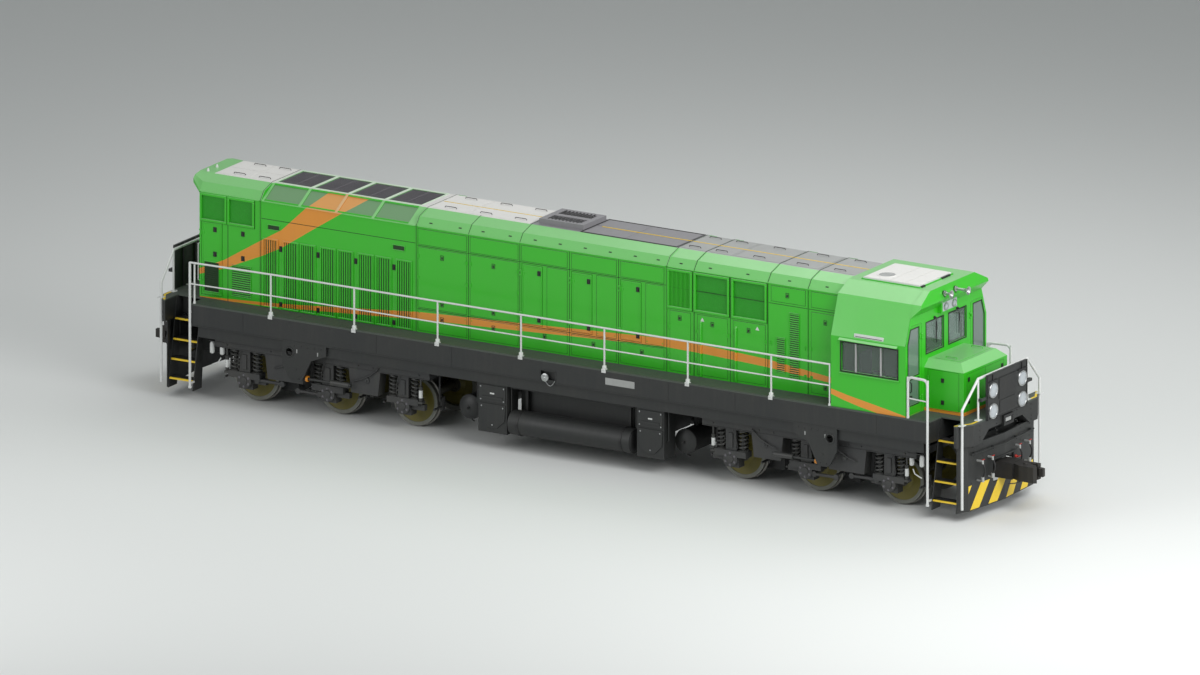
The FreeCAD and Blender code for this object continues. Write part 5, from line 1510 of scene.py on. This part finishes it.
def axle_springs(coils, axle):
    """Two coil springs over an axle box, each between a lower and an upper seat with its guide pin."""
    for x in (axle - 0.26, axle + 0.26):
        coil(coils, x, SPRING_Y, SPRING_SEAT + 0.02, 1.17, 0.09, 0.021, 5.0)
        for z, way, pin in ((SPRING_SEAT, 1, 0.36), (1.19, -1, 0.06)):
            seat = [(0.112, 0), (0.112, 0.016), (0.05, 0.03), (0.045, pin)]
            coils.turned((x, SPRING_Y, z), (0, 0, way), seat, 20)


def axle_cover(covers, studs, axle):
    """Guide between the springs, the round cover with its six studs, and the cable that leads up from it."""
    covers.box(axle - 0.125, axle + 0.125, -1.3, -1.15, SPRING_SEAT, 1.188)
    covers.box(axle - 0.05, axle + 0.05, -1.325, -1.3, SPRING_SEAT + 0.06, 1.1)
    dome = [(0.165, 0), (0.165, 0.022), (0.155, 0.03), (0.085, 0.032), (0.078, 0.048), (0.055, 0.052),
            (0.02, 0.053)]
    covers.turned((axle, COVER_Y, AXLE_Z), OUT, dome, 32)
    angles = [math.pi * k / 3 + 0.52 for k in range(6)]
    bolts(studs, [(axle + 0.122 * math.cos(a), -1.34, AXLE_Z + 0.122 * math.sin(a)) for a in angles],
          OUT, 0.021, 0.016)
    covers.box(axle - 0.12, axle + 0.12, -1.275, -1.264, AXLE_Z + 0.1, AXLE_Z + 0.195)
    cable = ((0.1, -1.29, 0.13), (0.16, -1.31, 0.26), (0.14, -1.33, 0.42), (0.08, -1.355, 0.64))
    covers.tube([(axle + along, y, AXLE_Z + rise) for along, y, rise in cable], 0.01, 7)


def bogie_frame(frames):
    """Plates, edges, bolts, a round fitting with its pipe and the links, on the side of the frame."""
    for x0, x1 in ((-2.56, -2.42), (-1.38, -0.62), (0.42, 1.38), (2.42, 2.58)):
        frames.box(x0, x1, FRAME_Y - 0.002, FRAME_Y, 1.2, 1.33)
    for z0, z1 in ((1.318, 1.34), (1.19, 1.205)):
        frames.box(-2.56, 2.58, FRAME_Y - 0.012, FRAME_Y, z0, z1)
    spots = [(x, FRAME_Y - 0.002, 1.26) for x in (-2.3, -1.2, -0.85, 0.65, 0.95, 1.25, 2.3)]
    bolts(frames, spots, OUT, 0.018, 0.014)
    pipe = ((-0.3, -1.38, 1.27), (-0.1, -1.39, 1.1), (0.1, -1.39, 1.0), (0.3, -1.38, 0.93))
    round_fitting = [(0.07, 0), (0.07, 0.02), (0.03, 0.03), (0.025, 0.05)]
    for x in (-1.05, 0.85):
        frames.turned((x, FRAME_Y - 0.002, 0.98), OUT, round_fitting, 18)
        frames.tube([(x + along, y, z) for along, y, z in pipe], 0.014)
    for x0, x1, z in ((0.1, 0.62, 0.51), (1.0, 1.6, 0.6)):
        frames.rod((x0, -1.29, z), (x1, -1.29, z), 0.034)
        for x in (x0, x1):
            frames.turned((x, -1.26, z), OUT, [(0.062, 0), (0.062, 0.06), (0.02, 0.067)], 16)


def bogie(name, pivot, turn):
    """Everything on one bogie that the CAD leaves plain, modelled on its right side and mirrored."""
    body = name + "_bogie"
    place = Matrix.Translation((pivot, 0, 0)) @ Matrix.Rotation(turn, 4, "Z")
    coils, covers, studs, frames, pale, brakes = [Parts() for _ in range(6)]
    for axle in AXLES:
        axle_springs(coils, axle)
        axle_cover(covers, studs, axle)
        for x in (axle - 0.6, axle + 0.6):
            corners = [(x - 0.03, -0.8, 0.42), (x + 0.03, -0.8, 0.42), (x + 0.03, -0.8, 0.7),
                       (x - 0.03, -0.8, 0.7)]
            brakes.prism(corners, (0, 0.12, 0))
            brakes.rod((x, -0.85, 0.62), (x, -0.85, 1.18), 0.022, 10)
            brakes.rod((x, -1.08, 0.5), (x, -0.7, 0.5), 0.025, 10)
    damper = [(0.025, 0), (0.04, 0.02), (0.04, 0.3), (0.022, 0.31), (0.022, 0.48)]
    for x in (AXLES[0] - DAMPER_BEYOND, AXLES[2] + DAMPER_BEYOND):
        coils.turned((x, DAMPER_Y, 0.7), UP, damper, 16)
        pale.turned((x, DAMPER_Y, 0.78), UP, [(0.041, 0), (0.042, 0.004), (0.042, 0.155), (0.041, 0.16)], 16)
        coils.ring((x, DAMPER_Y, 0.99), UP, 0.022, 0.046, 0.03, 16)
        coils.box(x - 0.05, x + 0.05, -1.34, -1.2, 0.655, 0.705)
    bogie_frame(frames)
    bottle = [(0.03, 0), (0.05, 0.02), (0.05, 0.2), (0.035, 0.24), (0.018, 0.25), (0.018, 0.28)]
    for x in (2.44, 2.68):
        pale.turned((x, DAMPER_Y, 1.02), UP, bottle, 16)
    pale.tube([(2.47, -1.3, 0.95), (2.52, -1.32, 0.86), (2.6, -1.32, 0.82), (2.68, -1.3, 0.78)], 0.013)
    frames.box(2.38, 2.72, -1.36, -1.2, 1.285, 1.3)
    spring_piece = piece(name + "_coil_springs", coils.both_sides().moved(place), spring_grey, body,
                         slot="spring_steel")
    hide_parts(name + "_springs")
    piece(name + "_axle_covers", covers.both_sides().moved(place), bogie_grey, body)
    piece(name + "_cover_studs", studs.both_sides().moved(place), shutter_grey, body, slot="spring_steel")
    piece(name + "_frame_details", frames.both_sides().moved(place), bogie_grey, body, 0.002)
    piece(name + "_pale_fittings", pale.both_sides().moved(place), white_paint, body)
    piece(name + "_brake_gear", brakes.both_sides().moved(place), bogie_grey, body, 0.004)


def coupler_fittings(name, end):
    """Wear plate, ribs, bolts, pin head and release cable, modelled at the front and turned for the rear."""
    body = name + "_coupler_body"
    parts = Parts()
    middle, top, bottom, face = 0.88, 1.045, 0.715, 10.01
    parts.box(9.63, 9.98, -0.2, 0.2, top, top + 0.008)
    for y in (-0.16, -0.08, 0.08, 0.16):
        parts.box(face, face + 0.008, y - 0.008, y + 0.008, bottom + 0.03, top - 0.03)
    bolts(parts, [(face, y, middle + up) for y in (-0.205, 0.205) for up in (-0.11, 0, 0.11)],
          FORWARD, 0.014, 0.01)
    parts.turned((10.24, -0.06, top), UP, [(0.05, 0), (0.045, 0.02), (0.02, 0.03)], 16)
    parts.tube([(10.2, 0.0, bottom), (10.18, -0.1, 0.69), (10.16, -0.35, 0.69), (10.12, -0.55, 0.72)],
               0.012)
    if end < 0:
        parts.moved(Matrix.Rotation(math.pi, 4, "Z"))
    piece(name + "_coupler_details", parts, cast_steel, body, 0.003)


# ---------------------------------------------------------------- floor, light and camera
LIGHTS_AIM = Vector((0, 0, 1.5))
LIGHTS = (("key_light", (21, -9, 17), (16, 12), 3900),
          ("front_light", (30, 2, 9), (12, 8), 1500),
          ("fill_light", (-12, -22, 12), (20, 12), 1900),
          ("back_light", (0, 16, 20), (24, 10), 1500),
          ("top_light", (-6, 3, 26), (30, 10), 1300))
FLOOR_DARK, FLOOR_PALE = srgb(217, 219, 217), srgb(219, 221, 219)
WORLD_COLOUR, WORLD_STRENGTH = srgb(226, 230, 232), 0.42

# The photograph's viewing angle in degrees, and the middle and width of its frame in metres.
VIEW_AROUND, VIEW_UP = 31.5, 15.2
VIEW_MIDDLE = Vector((-0.008, 0, 2.255))
VIEW_WIDTH = 24.54
VIEW_DISTANCE = 60


def aim(thing, way):
    thing.rotation_mode = "QUATERNION"
    thing.rotation_quaternion = way.to_track_quat("-Z", "Y")


def ground():
    """Pale floor that curves up into a backdrop."""
    floor = Nodes("floor_paint")
    floor.put("Base Color", floor.mix(floor.spread(floor.noise(40, 3), 0.3, 0.7, 0, 1), FLOOR_DARK,
                                      FLOOR_PALE))
    floor.put("Roughness", 0.75)
    shape = bmesh.new()
    reach, back, height, bend, steps = 90, 60, 60, 12, 8
    profile = [(-reach, 0), (back - bend, 0)]
    for i in range(1, steps + 1):
        angle = math.pi / 2 * i / steps
        profile.append((back - bend + bend * math.sin(angle), bend - bend * math.cos(angle)))
    profile.append((back, height))
    rows = [[shape.verts.new((x, y, z)) for x in (-reach, reach)] for y, z in profile]
    for low, high in zip(rows, rows[1:]):
        shape.faces.new([low[0], low[1], high[1], high[0]])
    mesh = bpy.data.meshes.new("studio_floor")
    shape.to_mesh(mesh)
    shape.free()
    mesh.shade_smooth()
    mesh.materials.append(floor.material)
    add_object("studio_floor", mesh)


def studio():
    ground()
    for name, spot, size, power in LIGHTS:
        lamp_data = bpy.data.lights.new(name, "AREA")
        lamp_data.shape = "RECTANGLE"
        lamp_data.size, lamp_data.size_y = size
        lamp_data.energy = power
        thing = add_object(name, lamp_data)
        thing.location = spot
        aim(thing, LIGHTS_AIM - Vector(spot))
    world = bpy.data.worlds.new("studio_world")
    world.use_nodes = True
    shade = world.node_tree.nodes["Background"]
    shade.inputs["Color"].default_value = WORLD_COLOUR
    shade.inputs["Strength"].default_value = WORLD_STRENGTH
    bpy.context.scene.world = world
    bpy.context.scene.view_settings.view_transform = "Standard"


def camera():
    data = bpy.data.cameras.new("camera")
    data.type = "ORTHO"
    data.ortho_scale = VIEW_WIDTH
    data.clip_end = 300
    thing = add_object("camera", data)
    around, up = math.radians(VIEW_AROUND), math.radians(VIEW_UP)
    back = Vector((math.sin(around) * math.cos(up), -math.cos(around) * math.cos(up), math.sin(up)))
    thing.location = VIEW_MIDDLE + back * VIEW_DISTANCE
    aim(thing, -back)
    bpy.context.scene.camera = thing


camera()
studio()
hood_seams()
hood_latches()
louvres()
grille_frames()
engine_covers()
hood_doors()
roof_fittings()
shutters()
cab_trim()
wipers()
cab_door_trim()
lights()
cab_roof_fittings()
horns()
nose_fittings()
seats()
cab_inside()
hazard_stripes()
end_fittings()
lamp_panel_fittings()
stair_fittings()
rail_fittings()
deck_edges()
rear_wall()
sill_fittings()
tank_fittings()
bracket_fittings()
bogie("front", 5.83, 0)
bogie("rear", -5.83, math.pi)
coupler_fittings("front", 1)
coupler_fittings("rear", -1)
